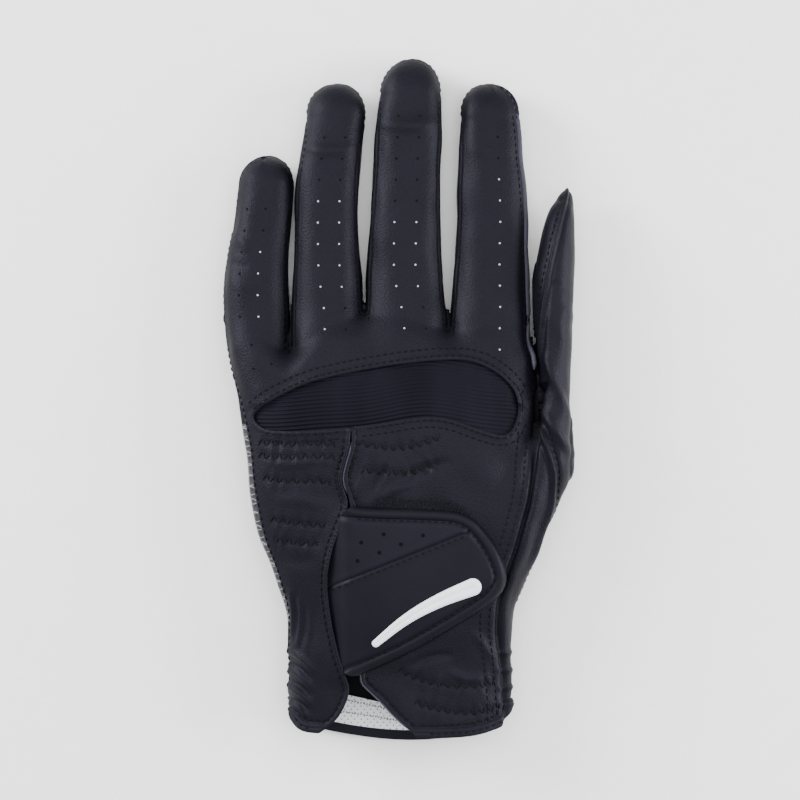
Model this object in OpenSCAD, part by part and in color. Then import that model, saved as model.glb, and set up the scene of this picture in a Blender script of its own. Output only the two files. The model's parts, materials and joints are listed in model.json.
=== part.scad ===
// Golf glove for the left hand, lying palm down. X runs towards the thumb, Y towards the fingertips
// and Z up through the back of the hand. The origin is the centre of the footprint, on the table.
// Every leather piece is cut from one hollow skin, so that neighbours meet edge to edge along their seams.

/* [Leather] */
// Thickness of the leather skin
skin_t = 1.2; // [0.8:0.1:1.6]
// How far a bound edge stands proud of the leather
binding_proud = 0.6; // [0.3:0.1:1]
// Width of a bound edge
binding_w = 2.6; // [2:0.2:4]
// How far the flaps on the back stop short of the palm hem
flap_back = 2.4; // [0:0.2:5]

/* [Hand] */
// Height of the back of the hand at the knuckles
palm_h = 27; // [24:1:32]
// Height of the cuff where the hand goes in
cuff_h = 22; // [20:1:26]
// Squareness of the palm section, where 2 is an ellipse
palm_square = 2.6; // [2.2:0.1:3.2]
// Height of the side seam between the palm and the back
side_seam_z = 12.5; // [11:0.5:14]

/* [Fingers] */
// Height of a finger at the web beside it
finger_h = 19; // [17:1:21]
// Height of a finger where its tip starts to round
finger_tip_h = 15.5; // [14:0.5:17]
// Height of the side gussets between the fingers
gusset_h = 8; // [5:1:9]
// Distance from the web to the line that a finger bends about
knuckle_rise = 9; // [8:1:12]
// Height of the line that a finger bends about
knuckle_z = 2.4; // [2:0.1:3]
// Clearance between pieces that move past each other
running_gap = 0.25; // [0.2:0.05:0.5]

/* [Closure tab] */
// Thickness of the hook pad and of the loop pad
pad_t = 0.9; // [0.7:0.1:1.2]
// Thickness of the leather base of the tab
tab_base_t = 1; // [0.8:0.1:1.4]
// Thickness of the smooth face panels
tab_face_t = 0.7; // [0.5:0.1:1]
// Radius of the vent holes in the upper face panel
vent_r = 0.8; // [0.5:0.1:1.2]
// Thickness of the moulded badge
badge_t = 1; // [0.8:0.1:1.4]

/* [Hidden] */

slice_t = 0.2;       // thickness of the thin slices that the skin is drawn over
section_points = 28;  // points round a section
far = 300;            // longer than anything here
sunk = 0.5;           // how far the round sections dip under the table before they are trimmed flat
y_cuff = -114.7;      // the lowest point of the palm hem
cuff_h_end = cuff_h;
tip_turns = [0, 30, 55, 75, 87];

// The palm from cuff to knuckles: Y, left edge, right edge, height
palm_sections = [
    [-130, -36.5, 36.5, cuff_h_end],
    [-100, -37, 36.8, cuff_h + 1],
    [-80, -37.4, 37, cuff_h + 2],
    [-68, -38.4, 37.4, palm_h - 2],
    [-52, -44.4, 39.5, palm_h - 1],
    [-34, -49, 42.5, palm_h],
    [-15, -51.6, 44.6, palm_h],
    [2, -53.8, 46, palm_h - 1],
    [11, -55.5, 46, palm_h - 4],
    [17, -56.6, 45.2, finger_h + 0.6],
    [19.5, -54.6, 43.6, finger_h - 5]
];

// Each finger: Y, centre X, half width, from inside the palm to where the tip starts to round
little_sections = [[4, -44.4, 7.5], [18, -47.5, 10.2], [38, -48.2, 10.6], [55, -46.9, 9.8], [71, -44.8, 8.8]];
ring_sections = [[6, -24.2, 12], [24, -24.1, 11.8], [45, -24.5, 11.2], [75, -23.8, 10.5], [94, -21.8, 9.8]];
middle_sections = [[6, 1.4, 13], [34, 1.4, 12.8], [52, 1.5, 12.4], [80, 2.3, 11.4], [102, 3.7, 10]];
index_sections = [[4, 31, 13.6], [20, 30.9, 13.3], [40, 30.5, 12.8], [70, 30.4, 11.3], [93, 30, 10]];
// The lane between its neighbours that each finger lies in, as seen from above
little_lane = [[-80, 10], [-36.6, 10], [-35.4, 75], [-30, 140], [-80, 140]];
ring_lane = [[-36.6, 10], [-11.9, 10], [-11.1, 100], [-8, 140], [-30, 140], [-35.4, 75]];
middle_lane = [[-11.9, 10], [15.8, 10], [17, 100], [17, 140], [-8, 140], [-11.1, 100]];
index_lane = [[15.8, 10], [45.4, 10], [45.4, 140], [17, 140], [17, 100]];
// Each finger: sections, length of the rounded tip, X of the very tip, Y where it leaves its webs, lane
LITTLE = [little_sections, 10.5, -44, 18, little_lane];
RING = [ring_sections, 12, -21, 31, ring_lane];
MIDDLE = [middle_sections, 12.7, 4, 31, middle_lane];
INDEX = [index_sections, 12.5, 29.2, 26, index_lane];
FINGERS = [LITTLE, RING, MIDDLE, INDEX];

// The webs between the fingers: X, Y of the crotch, half width where it starts
WEBS = [[-36.8, 17.5, 7], [-11.9, 30.5, 8], [15.9, 25.5, 8]];
web_run = 22;

// The heel of the thumb, then the thumb: Y, centre X, half width, centre Z, half height
thenar_sections = [
    [-74, 22, 8, 11, 9], [-56, 31, 12, 12, 11], [-40, 38.2, 12.5, 12.4, 12], [-26, 43.6, 13.4, 12.4, 12.4],
    [-9, 49.4, 8, 12, 12]
];
thumb_sections = [
    [-14, 52, 5.3, 12, 12], [2, 52.1, 5.2, 12, 11.8], [22, 52.4, 5.2, 12, 11.5], [40, 53, 5.1, 12, 10.5],
    [54, 54, 4.2, 12, 8.5], [64, 55.1, 2.7, 12, 5.6], [70, 55.7, 1, 12, 2.2]
];
// The thumb joins its heel here; its left side starts clear of the palm
thumb_split_y = -10;
thumb_left_x = 46.4;

// The stretch insert over the knuckles, as seen from above
insert_outline = [
    [-49, -5.5], [-37, 1.4], [-23, 7.6], [-9, 10.6], [6, 12.6], [19, 13.6], [29, 10.6], [37.4, 3.6],
    [40, -4], [38.6, -10.6], [33, -12], [25, -9.4], [17, -6.4], [8, -5.4], [-5, -7.4], [-18, -9.6],
    [-34, -10.8], [-44, -9.8]
];
// The seam from the ends of the insert out to both sides; in between it runs under the insert
knuckle_seam = [[-70, -3], [-46, -6.4], [0, 2], [37, -8], [60, -20]];
// The slit down the back of the wrist and the notch between the two flaps
slit_outline = [
    [-16.6, -12], [-15.4, -12], [-15, -34], [-14.4, -60], [-12.4, -92], [-7, -100.5], [2, -108.5], [14, -122],
    [-30, -122], [-22.6, -110.5], [-17.9, -103.5], [-17, -94], [-20, -76], [-22, -60], [-20.4, -46],
    [-17.4, -34], [-17.2, -22]
];
// The closure tab, as seen from above, with its hinge edge on the left
tab_outline = [
    [-15.4, -35], [12, -35.2], [19, -37.4], [23.6, -41.6], [33.6, -58.4], [34, -65.4], [31.4, -69.6],
    [8, -83.6], [-17.4, -92.2], [-20.6, -76], [-22.4, -60], [-20.8, -46]
];
tab_rim = 4.2;          // width of the bound rim of the tab
face_seam = [[-40, -69], [33, -41]];  // the slanting seam between the two face panels
face_gap = 0.5;         // the groove left along that seam
vents = [[-4.6, -45.6], [-13.4, -48.6], [9.8, -45.4], [0.8, -48.8], [-6, -52], [-14.6, -55.6]];
// The badge: a plain swept bar that widens to a rounded end
badge_line = [[-8, -80, 1.2], [2, -71.6, 1.7], [13, -65.6, 2.2], [24, -61.4, 2.8]];

// Heights of the layers that lie on the back of the hand
loop_z = 0.05;
hook_z = loop_z + pad_t + 0.05;
base_z = hook_z + pad_t;
face_z = base_z + tab_base_t;
badge_z = face_z + tab_face_t;

function power(v, e) = sign(v) * pow(abs(v), e);
function section(a, b, n) = [for (i = [0 : section_points - 1])
    let (t = 360 * (i + 0.5) / section_points) [a * power(cos(t), 2 / n), b * power(sin(t), 2 / n)]];
// A finger is higher inside the palm and lower towards its tip
function height_at(y, f) = let (s = f[0], y1 = s[1][0], y2 = s[len(s) - 1][0])
    y < y1 ? palm_h - 3 : finger_h + (finger_tip_h - finger_h) * (y - y1) / (y2 - y1);
function knuckle_y(f) = f[3] + knuckle_rise;
function last(list) = list[len(list) - 1];

// ---- Building blocks ----

// A thin upright slice across the glove
module slice(y, x, half_w, z, half_h, square = 2.2) {
    translate([x, y, z]) rotate([90, 0, 0]) translate([0, 0, -slice_t / 2])
        linear_extrude(slice_t) polygon(section(half_w, half_h, square));
}

module palm_volume(grow) {
    for (i = [0 : len(palm_sections) - 2]) hull() for (s = [palm_sections[i], palm_sections[i + 1]])
        slice(s[0], (s[1] + s[2]) / 2, (s[2] - s[1]) / 2 + grow, (s[3] - sunk) / 2, (s[3] + sunk) / 2 + grow, palm_square);
}

module web_volumes(grow) {
    for (w = WEBS) hull() {
        slice(w[1] - web_run, w[0], w[2] + 4 + grow, finger_h / 2, finger_h / 2 + grow, palm_square);
        slice(w[1] + min(grow, 0), w[0], w[2] / 2 + grow, finger_h / 2 - 1, finger_h / 2 - 2.5 + grow);
    }
}

module finger_volume(f, grow) {
    s = f[0];
    for (i = [0 : len(s) - 2]) hull() for (p = [s[i], s[i + 1]]) {
        h = height_at(p[0], f);
        slice(p[0], p[1], p[2] + grow, (h - sunk) / 2, (h + sunk) / 2 + grow);
    }
    end = last(s);
    half_h = (finger_tip_h + sunk) / 2;
    hull() for (t = tip_turns)
        slice(end[0] + (f[1] + grow) * sin(t), end[1] + (f[2] - end[1]) * (1 - cos(t)),
            (end[2] + grow) * cos(t), half_h - sunk, (half_h + grow) * cos(t));
}

module section_chain(sections, grow) {
    for (i = [0 : len(sections) - 2]) hull() for (s = [sections[i], sections[i + 1]])
        slice(s[0], s[1], max(s[2] + grow, 0.3), s[3], max(s[4] + grow, 0.3));
}

module hand_volume(grow) {
    palm_volume(grow);
    web_volumes(grow);
    for (f = FINGERS) finger_volume(f, grow);
    section_chain(thenar_sections, grow);
}

module above_table() { translate([-far / 2, -far / 2, 0]) cube(far); }
module box_between(low, high) { translate(low) cube(high - low); }
module column(z0 = -10, z1 = 60) { translate([0, 0, z0]) linear_extrude(z1 - z0) children(); }

// The leather skin of the hand and fingers, trimmed flat where it rests
module hand_skin(hem_back = 0) {
    intersection() {
        difference() { hand_volume(0); hand_volume(-skin_t); }
        above_table();
        column() cuff_plan(hem_back);
    }
}

// Everything of the thumb: its skin is open towards the palm
module thumb_skin() {
    intersection() {
        difference() { section_chain(thumb_sections, 0); section_chain(thumb_sections, -skin_t); }
        box_between([0, thumb_split_y + running_gap, 0], [far, far, far]);
    }
}

// A layer of the given height range over the back of the hand
module back_layer(z0, z1) {
    difference() {
        intersection() { palm_volume(z1); box_between([-far, -far, side_seam_z], [far, far, far]); }
        palm_volume(z0);
    }
}

// ---- Outlines seen from above ----

// The cuff from above, with its rounded corners and the gentle curve of the hem; back is how far it falls short
module cuff_plan(back = 0) {
    hull() {
        for (x = [-29.5, 29.5]) translate([x, -103.5 + back]) circle(8, $fn = 32);
        translate([0, y_cuff + 60 + back]) circle(60, $fn = 120);
        translate([-80, -60]) square([160, 220]);
    }
}
module insert_plan(grow = 0) { offset(delta = grow) polygon(insert_outline); }
module slit_plan(grow = 0) { offset(r = grow, $fn = 24) polygon(slit_outline); }
module above_knuckle_seam() { polygon(concat(knuckle_seam, [[60, 60], [-70, 60]])); }
module tab_plan(shrink = 0) { offset(delta = -shrink) polygon(tab_outline); }
module above_face_seam(shift) {
    translate([0, shift]) polygon(concat(face_seam, [[60, 0], [-60, 0]]));
}

// ---- Regions of the skin ----

module finger_lane(f, z0, z1) {
    intersection() {
        column(z0, z1) polygon(f[4]);
        box_between([-far, f[3], -1], [far, far, 60]);
    }
}
module finger_zone(f) {
    intersection() {
        finger_lane(f, -1, 60);
        box_between([-far, knuckle_y(f) + running_gap, -1], [far, far, 60]);
    }
}
module all_finger_zones() {
    for (f = FINGERS) intersection() {
        finger_lane(f, -1, 60);
        union() {
            box_between([-far, knuckle_y(f), -1], [far, far, 60]);
            // room for the leather under the bend
            box_between([-far, knuckle_y(f) - knuckle_z - running_gap, -1], [far, far, knuckle_z + running_gap]);
        }
    }
}
// The opening that the thumb joins, and the space that its base turns in
module thumb_zone() {
    box_between([thumb_left_x, thumb_split_y - running_gap, -1], [far, far, 60]);
}
module hand_only() {
    difference() {
        hand_skin();
        all_finger_zones();
        thumb_zone();
    }
}
module upper_half() { box_between([-far, -far, side_seam_z], [far, far, far]); }
module lower_half() { box_between([-far, -far, -1], [far, far, side_seam_z]); }

// ---- The hand ----

module heel_zone() {
    box_between([-far, -62, -1], [-34, -12, side_seam_z]);
}
module gusset_zone() {
    box_between([45.8, -58, -1], [far, 0, 60]);
}

module palm_panel() {
    color([0.13, 0.12, 0.15]) intersection() {
        difference() {
            hand_only();
            heel_zone();
            gusset_zone();
        }
        lower_half();
        column() cuff_plan(binding_w);
    }
}
module heel_patch() {
    color([0.3, 0.3, 0.33]) intersection() { hand_only(); heel_zone(); }
}
module thumb_gusset() {
    color([0.14, 0.13, 0.16]) intersection() { hand_only(); gusset_zone(); }
}
module back_skin() {
    intersection() {
        difference() { hand_only(); gusset_zone(); }
        upper_half();
    }
}
module knuckle_back_panel() {
    color([0.16, 0.15, 0.18]) difference() {
        intersection() { back_skin(); column() above_knuckle_seam(); }
        column() insert_plan();
    }
}
module knuckle_stretch_insert() {
    color([0.1, 0.1, 0.12]) intersection() { back_skin(); column() insert_plan(); }
}
module lower_back(side) {
    difference() {
        intersection() {
            back_skin();
            box_between([side < 0 ? -far : -16, -far, 0], [side < 0 ? -16 : far, far, far]);
            column() cuff_plan(flap_back + binding_w);
        }
        column() above_knuckle_seam();
        column() insert_plan();
        column() slit_plan(binding_w);
    }
}
module back_panel_left() { color([0.14, 0.13, 0.16]) lower_back(-1); }
module back_panel_right() { color([0.14, 0.13, 0.16]) lower_back(1); }

// The bound edge of one flap: down the slit, round its corner and along the cuff
module slit_binding(side) {
    color([0.09, 0.09, 0.1]) intersection() {
        difference() { palm_volume(binding_proud); palm_volume(-skin_t); }
        upper_half();
        box_between([side < 0 ? -far : -16, -far, 0], [side < 0 ? -16 : far, far, far]);
        column() difference() {
            intersection() {
                cuff_plan(flap_back);
                union() {
                    slit_plan(binding_w);
                    cuff_edge();
                }
            }
            slit_plan();
        }
    }
}
module cuff_edge() {
    difference() {
        translate([-60, -130]) square([120, 45]);
        cuff_plan(flap_back + binding_w);
    }
}
module palm_hem_binding() {
    color([0.09, 0.09, 0.1]) intersection() {
        difference() { palm_volume(0); palm_volume(-skin_t - binding_proud); }
        above_table();
        lower_half();
        column() difference() { cuff_plan(); cuff_plan(binding_w); }
    }
}
module loop_pad() {
    color([0.08, 0.08, 0.09]) difference() {
        intersection() {
            back_layer(loop_z, loop_z + pad_t);
            column() polygon([[-10, -33], [17, -33], [24, -40], [29, -48], [31, -66], [6, -80], [-9, -84]]);
        }
        section_chain(thenar_sections, loop_z);
    }
}
module wrist_lining() {
    color([0.92, 0.92, 0.94]) intersection() {
        difference() { palm_volume(-skin_t - 0.05); palm_volume(-skin_t - 0.65); }
        box_between([-far, -far, 0], [far, -76, 7.5]);
        column() cuff_plan(binding_w + 0.3);
    }
}
// Elastic strips gathered inside the back of the hand, above and beside the slit
module back_elastics() {
    color([0.2, 0.2, 0.22]) for (strip = [[-44, -20, -15], [-44, -20, -26], [-42, -22, -39], [-12, 14, -15], [-12, 14, -22]])
        intersection() {
            difference() { palm_volume(-skin_t - 0.05); palm_volume(-skin_t - 0.75); }
            upper_half();
            box_between([strip[0], strip[2] - 2.5, 0], [strip[1], strip[2] + 2.5, far]);
        }
}
module wrist_elastics() {
    color([0.2, 0.2, 0.22]) for (strip = [[-32, -25, -82], [-32, -25, -96], [6, 30, -92], [6, 30, -103]])
        intersection() {
            difference() { palm_volume(-skin_t - 0.05); palm_volume(-skin_t - 0.75); }
            upper_half();
            box_between([strip[0], strip[2] - 3, 0], [strip[1], strip[2] + 3, far]);
        }
}

// ---- The fingers ----

module finger_skin(f) {
    intersection() {
        difference() { finger_volume(f, 0); finger_volume(f, -skin_t); }
        above_table();
        finger_zone(f);
    }
}
// sides holds -1 and 1 for the sides of the finger that carry a gusset
module gusset_band(f, sides) {
    x = f[0][2][1];
    z = finger_h / 2;
    for (side = sides)
        box_between([side < 0 ? x - 17 : x, -far, z - gusset_h / 2 - 0.8], [side < 0 ? x : x + 17, far, z + gusset_h / 2 - 0.8]);
}
module finger_half(f, sides, upper) {
    z = finger_h / 2 - 0.8;
    difference() {
        intersection() {
            finger_skin(f);
            box_between([-far, -far, upper ? z : -1], [far, far, upper ? far : z]);
        }
        gusset_band(f, sides);
    }
}
module finger_back(f, sides) { color([0.16, 0.15, 0.18]) finger_half(f, sides, true); }
module finger_front(f, sides) { color([0.13, 0.12, 0.15]) finger_half(f, sides, false); }
module fourchettes(f, sides) {
    color([0.11, 0.1, 0.13]) intersection() { finger_skin(f); gusset_band(f, sides); }
}
// The raised seam allowance down the outside of the index finger
module index_outseam() {
    z = finger_h / 2 + 1.2;
    color([0.2, 0.19, 0.23]) difference() {
        intersection() {
            finger_volume(INDEX, 2);
            finger_zone(INDEX);
            box_between([32, 0, z - 0.6], [far, 96, z + 0.6]);
        }
        finger_volume(INDEX, 0.05);
    }
}

// ---- The thumb ----

module thumb_upper_panel() {
    color([0.16, 0.15, 0.18]) intersection() { thumb_skin(); upper_half(); }
}
module thumb_lower_panel() {
    color([0.13, 0.12, 0.15]) intersection() { thumb_skin(); box_between([-far, -far, 0], [far, far, side_seam_z]); }
}

// ---- The closure tab ----

module closure_tab() {
    color([0.12, 0.11, 0.13]) intersection() { back_layer(base_z, face_z); column() tab_plan(0); }
}
module tab_binding() {
    color([0.1, 0.1, 0.11]) difference() {
        intersection() { back_layer(face_z, badge_z); column() tab_plan(0); }
        column() inside_rim(0);
    }
}
// The rim is bound all round except along the hinge edge
module inside_rim(shrink) {
    hull() for (shift = [0, -9]) translate([shift, 0]) tab_plan(tab_rim + shrink);
}
module tab_upper_panel() {
    color([0.17, 0.17, 0.2]) difference() {
        intersection() {
            back_layer(face_z, badge_z);
            column() intersection() { tab_plan(0.05); inside_rim(0.05); above_face_seam(face_gap / 2); }
        }
        for (v = vents) translate([v[0], v[1], 0]) cylinder(r = vent_r, h = 60, $fn = 24);
    }
}
module tab_lower_panel() {
    color([0.17, 0.17, 0.2]) intersection() {
        back_layer(face_z, badge_z);
        column() difference() {
            intersection() { tab_plan(0.05); inside_rim(0.05); }
            above_face_seam(-face_gap / 2);
        }
    }
}
module tab_hook_pad() {
    color([0.06, 0.06, 0.07]) intersection() {
        back_layer(hook_z, base_z);
        column() polygon([[-7, -38], [16, -38], [20, -42], [29, -57], [29, -66], [6, -79], [-7, -83.5]]);
    }
}
module badge() {
    color([0.85, 0.86, 0.9]) intersection() {
        back_layer(badge_z, badge_z + badge_t);
        column() for (i = [0 : len(badge_line) - 2]) hull() for (p = [badge_line[i], badge_line[i + 1]])
            translate([p[0], p[1]]) circle(p[2], $fn = 24);
    }
}

palm_panel();
heel_patch();
thumb_gusset();
knuckle_back_panel();
knuckle_stretch_insert();
back_panel_left();
back_panel_right();
slit_binding(-1);  // slit_binding_left
slit_binding(1);  // slit_binding_right
palm_hem_binding();
loop_pad();
wrist_lining();
back_elastics();
wrist_elastics();
finger_back(LITTLE, [1]);  // little_finger_back
finger_front(LITTLE, [1]);  // little_finger_front
fourchettes(LITTLE, [1]);  // little_fourchette
finger_back(RING, [-1, 1]);  // ring_finger_back
finger_front(RING, [-1, 1]);  // ring_finger_front
fourchettes(RING, [-1, 1]);  // ring_fourchettes
finger_back(MIDDLE, [-1, 1]);  // middle_finger_back
finger_front(MIDDLE, [-1, 1]);  // middle_finger_front
fourchettes(MIDDLE, [-1, 1]);  // middle_fourchettes
finger_back(INDEX, [-1]);  // index_finger_back
finger_front(INDEX, [-1]);  // index_finger_front
fourchettes(INDEX, [-1]);  // index_fourchette
index_outseam();
thumb_upper_panel();
thumb_lower_panel();
closure_tab();
tab_binding();
tab_upper_panel();
tab_lower_panel();
tab_hook_pad();
badge();
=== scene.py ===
"""Looks of the left-hand golf glove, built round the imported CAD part.

The leather shell is drawn as one implicit surface: a palm, four fingers and a thumb, joined softly.
Its mesh is cut along the seams into panels, and every panel is displaced by the same function of
position (seam grooves, folds, gathers), so that neighbours always meet. Lengths here are millimetres.
"""

import json
import math

import bpy
import numpy as np
import openvdb
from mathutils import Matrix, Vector

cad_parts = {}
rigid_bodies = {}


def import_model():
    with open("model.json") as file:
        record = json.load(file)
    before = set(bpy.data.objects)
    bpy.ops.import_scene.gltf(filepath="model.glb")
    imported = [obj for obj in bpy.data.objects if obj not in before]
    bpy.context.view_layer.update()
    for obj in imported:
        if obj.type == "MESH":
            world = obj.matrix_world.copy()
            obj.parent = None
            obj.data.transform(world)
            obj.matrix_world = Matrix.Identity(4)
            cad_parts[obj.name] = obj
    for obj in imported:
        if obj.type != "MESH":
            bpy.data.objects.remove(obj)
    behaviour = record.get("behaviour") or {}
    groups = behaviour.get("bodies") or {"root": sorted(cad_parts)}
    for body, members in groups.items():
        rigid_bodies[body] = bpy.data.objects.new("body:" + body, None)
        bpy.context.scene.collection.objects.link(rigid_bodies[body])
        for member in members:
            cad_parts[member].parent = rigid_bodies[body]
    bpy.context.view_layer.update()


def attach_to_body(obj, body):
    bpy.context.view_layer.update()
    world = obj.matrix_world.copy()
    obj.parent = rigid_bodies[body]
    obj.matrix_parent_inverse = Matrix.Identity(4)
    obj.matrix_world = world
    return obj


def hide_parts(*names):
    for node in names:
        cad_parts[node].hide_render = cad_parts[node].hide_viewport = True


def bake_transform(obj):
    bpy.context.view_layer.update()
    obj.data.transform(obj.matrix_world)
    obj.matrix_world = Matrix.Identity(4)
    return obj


MM = 0.001
GRID = 0.8     # spacing of the grid that the shell is meshed on
rng = np.random.default_rng(7)

# ------------------------------------------------------------------------------------------------
# Sizes and outlines, seen from above: X towards the thumb, Y towards the fingertips
# ------------------------------------------------------------------------------------------------

# Palm: Y, left edge, right edge, height of the back
PALM = [(-130, -36, 36, 20.5), (-104, -37, 37, 22), (-84, -37.6, 37, 23.5), (-70, -38, 37.2, 25),
    (-60, -41.2, 38.5, 25.6), (-45, -46.7, 41.5, 26.3), (-30, -50.2, 44.3, 27), (-15, -51.9, 45.6, 27),
    (0, -53.6, 45.9, 26.2), (12, -55.6, 45.8, 24.4), (24, -54.6, 44, 21), (36, -52, 43, 17)]
# How far up the hand the palm reaches before it rounds over into the webs: X, Y
PALM_END = [(-62, 27), (-47, 25), (-36.8, 17.5), (-26, 27), (-11.6, 30.5), (2, 32), (16.4, 25), (30, 30),
    (48, 16)]
# Fingers: Y, left edge, right edge, height; then Y and X of the tip, and how long the rounding is
LITTLE = dict(rows=[(0, -50, -38, 22.5), (14, -56.6, -37, 21.4), (30, -58.7, -37.2, 19),
    (40, -58.7, -37.6, 18.4), (50, -57.6, -37, 17.8), (60, -55.4, -36.5, 17.3),
    (72, -53.6, -36, 16.2)], tip=(82.3, -44.3), round=10.5)
RING = dict(rows=[(0, -35, -14, 25), (20, -36.2, -12.2, 22), (32, -36, -12.2, 20), (45, -35.8, -13.1, 19),
    (60, -35.3, -14, 18), (75, -34.6, -13.6, 17.3), (85, -33.2, -12.8, 16.6),
    (95, -31.4, -11.6, 15.6)], tip=(106.5, -21), round=11.5)
MIDDLE = dict(rows=[(0, -10, 13, 26), (20, -11.8, 16.4, 22.4), (28, -11.8, 15.9, 21), (34, -11.6, 15.1, 20),
    (48, -11.1, 14.2, 19), (62, -10, 13.7, 18.4), (76, -9.1, 13.5, 17.6), (90, -8.3, 14, 16.8),
    (102, -6.6, 13.6, 15.8)], tip=(114.9, 4), round=12.5)
INDEX = dict(rows=[(0, 20, 42, 25), (20, 16.2, 43.4, 21.6), (28, 16.7, 43.4, 20.4), (34, 17.3, 43.3, 19.6),
    (48, 18, 43, 18.6), (62, 19.1, 42.4, 17.8), (76, 19.3, 41.2, 17.2), (88, 19.8, 40.3, 16.5),
    (94, 20.6, 39.6, 15.8)], tip=(106.5, 29.4), round=12)
FINGERS = dict(little=LITTLE, ring=RING, middle=MIDDLE, index=INDEX)
# Thumb, seen on its edge: Y, left edge, right edge, lowest, highest
THUMB = [(-90, 20, 30, 4, 18), (-74, 20, 33, 3, 19), (-58, 24, 42.3, 2, 22), (-45, 28, 48.4, 1, 23.6),
    (-34, 32, 53.4, 0.6, 24.4), (-24, 36.6, 57.4, 0.4, 24.6), (-14, 42, 57.6, 0.3, 24.4),
    (-6, 46, 57.1, 0.3, 24.2), (2, 46.4, 56.8, 0.3, 24), (14, 45.6, 57, 0.4, 23.8),
    (30, 44.5, 57.6, 0.8, 23.6), (44, 44.7, 58.2, 1.4, 23), (54, 46.6, 58.2, 2.4, 21.6),
    (62, 49, 58.1, 4, 19.2), (67, 51.6, 57.6, 6, 16.4)]
THUMB_TIP = (71, 56.2)
THUMB_MIDDLE = 12.5    # height that parts its upper and lower panels

BASE = 0.1             # how far the shell's lowest skin stands off the table
BACK_FROM = 12         # height above which the skin counts as the back, near the insert and the slit
# Exponents of the superellipse sections: 2 is an ellipse, more is squarer
SQUARE = dict(palm=2.7, finger=2.35, thumb=2.2)

# Outlines on the back of the hand
INSERT = [(-49.4, -5.2), (-46, -2), (-41, 1.2), (-31, 5.9), (-19, 9), (-7, 11.2), (5.6, 12.9), (16.7, 13.9),
    (23.5, 13.4), (31, 10.2), (36.2, 6), (38.9, 1.8), (39.5, -4.3), (37.6, -9.4), (35, -11.2), (31.5, -11),
    (25.2, -8.9), (16.7, -5.7), (9.9, -4.9), (3.1, -5.6), (-7, -7.4), (-15.7, -8.4), (-27.6, -9.8),
    (-41.2, -10), (-46.4, -8.8)]
SLIT = [(-16.2, -9.6), (-15.9, -12), (-16.3, -16), (-18.3, -22.5), (-18.9, -26.6), (-17.2, -31),
    (-16.7, -33), (-16, -35.5), (-12.4, -41), (-12, -70), (-13.2, -90), (-12.9, -93.5), (-10.5, -95.8),
    (-6.1, -99.9), (-1.7, -104.9), (5.2, -110.8), (14, -124), (-34, -124), (-28.5, -111.4), (-25.5, -109.6),
    (-21, -106), (-17.9, -100.6), (-16.5, -95.6), (-17.8, -91), (-20.6, -81.6), (-22.8, -71), (-24.1, -60),
    (-22.6, -50), (-19.6, -42), (-17.4, -36.5), (-17.1, -33.5), (-17.9, -30.5), (-19.3, -26.6),
    (-18.7, -22.5), (-16.7, -16), (-16.4, -12)]
RIGHT_SEAM = [(70, 8.6), (46.9, 8.5), (45.7, -7.7), (44.7, -17), (43.3, -32.6), (40.5, -42.5), (38, -51.8),
    (35.6, -57.6), (33.2, -66.3), (32.4, -76.5), (34.4, -90), (35.2, -100), (35.6, -130)]
TAB = [(-18, -34.6), (-8, -35.2), (5, -35.5), (16, -36), (20.5, -36.9), (24.6, -39), (28.8, -43.6),
    (33, -50.1), (35.5, -57.2), (34.8, -61.8), (32.2, -65.4), (26.5, -69.5), (20.1, -73.5), (7.3, -81.2),
    (-5.4, -87.6), (-18.4, -92.6), (-20.8, -82), (-24, -71), (-25.4, -60), (-24, -50), (-21, -42)]


# ------------------------------------------------------------------------------------------------
# Curves in one variable, and distances in the plan
# ------------------------------------------------------------------------------------------------

def smooth(t):
    t = np.clip(t, 0, 1)
    return t * t * (3 - 2 * t)


def unit(v):
    return v / (np.linalg.norm(v, axis=1, keepdims=True) + 1e-9)


def column(table, x, k):
    """Smooth curve through column k of a table whose first column is increasing."""
    t = np.array([row[0] for row in table], float)
    v = np.array([row[k] for row in table], float)
    slope = np.gradient(v, t)
    i = np.clip(np.searchsorted(t, x) - 1, 0, len(t) - 2)
    h = t[i + 1] - t[i]
    u = np.clip((x - t[i]) / h, 0, 1)
    a = (1 + 2 * u) * (1 - u) ** 2
    b = u * (1 - u) ** 2
    c = u * u * (3 - 2 * u)
    d = u * u * (u - 1)
    return a * v[i] + b * h * slope[i] + c * v[i + 1] + d * h * slope[i + 1]


def rounded(points, passes=2, closed=True):
    """Chaikin's corner cutting: the outline that the corner points give, with its corners rounded."""
    p = np.array(points, float)
    for _ in range(passes):
        q = np.roll(p, -1, 0) if closed else p[1:]
        r = p if closed else p[:-1]
        cut = np.stack([r * 0.75 + q * 0.25, r * 0.25 + q * 0.75], 1).reshape(-1, p.shape[1])
        p = cut if closed else np.vstack([p[:1], cut, p[-1:]])
    return p


def plan_distance(points, xy, closed=True):
    """Distance in the plan from each of xy to a line; for a closed outline it is negative inside."""
    a = np.asarray(points, float)
    b = np.roll(a, -1, 0) if closed else a[1:]
    a = a if closed else a[:-1]
    best = np.full(len(xy), 1e9)
    inside = np.zeros(len(xy), bool)
    x, y = xy[:, 0], xy[:, 1]
    for (ax, ay), (bx, by) in zip(a, b):
        dx, dy = bx - ax, by - ay
        t = np.clip(((x - ax) * dx + (y - ay) * dy) / (dx * dx + dy * dy + 1e-12), 0, 1)
        best = np.minimum(best, (x - ax - t * dx) ** 2 + (y - ay - t * dy) ** 2)
        if closed:
            crosses = (ay > y) != (by > y)
            inside ^= crosses & (x < ax + (y - ay) * dx / (dy if abs(dy) > 1e-9 else 1e-9))
    best = np.sqrt(best)
    return np.where(inside, -best, best) if closed else best


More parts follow.
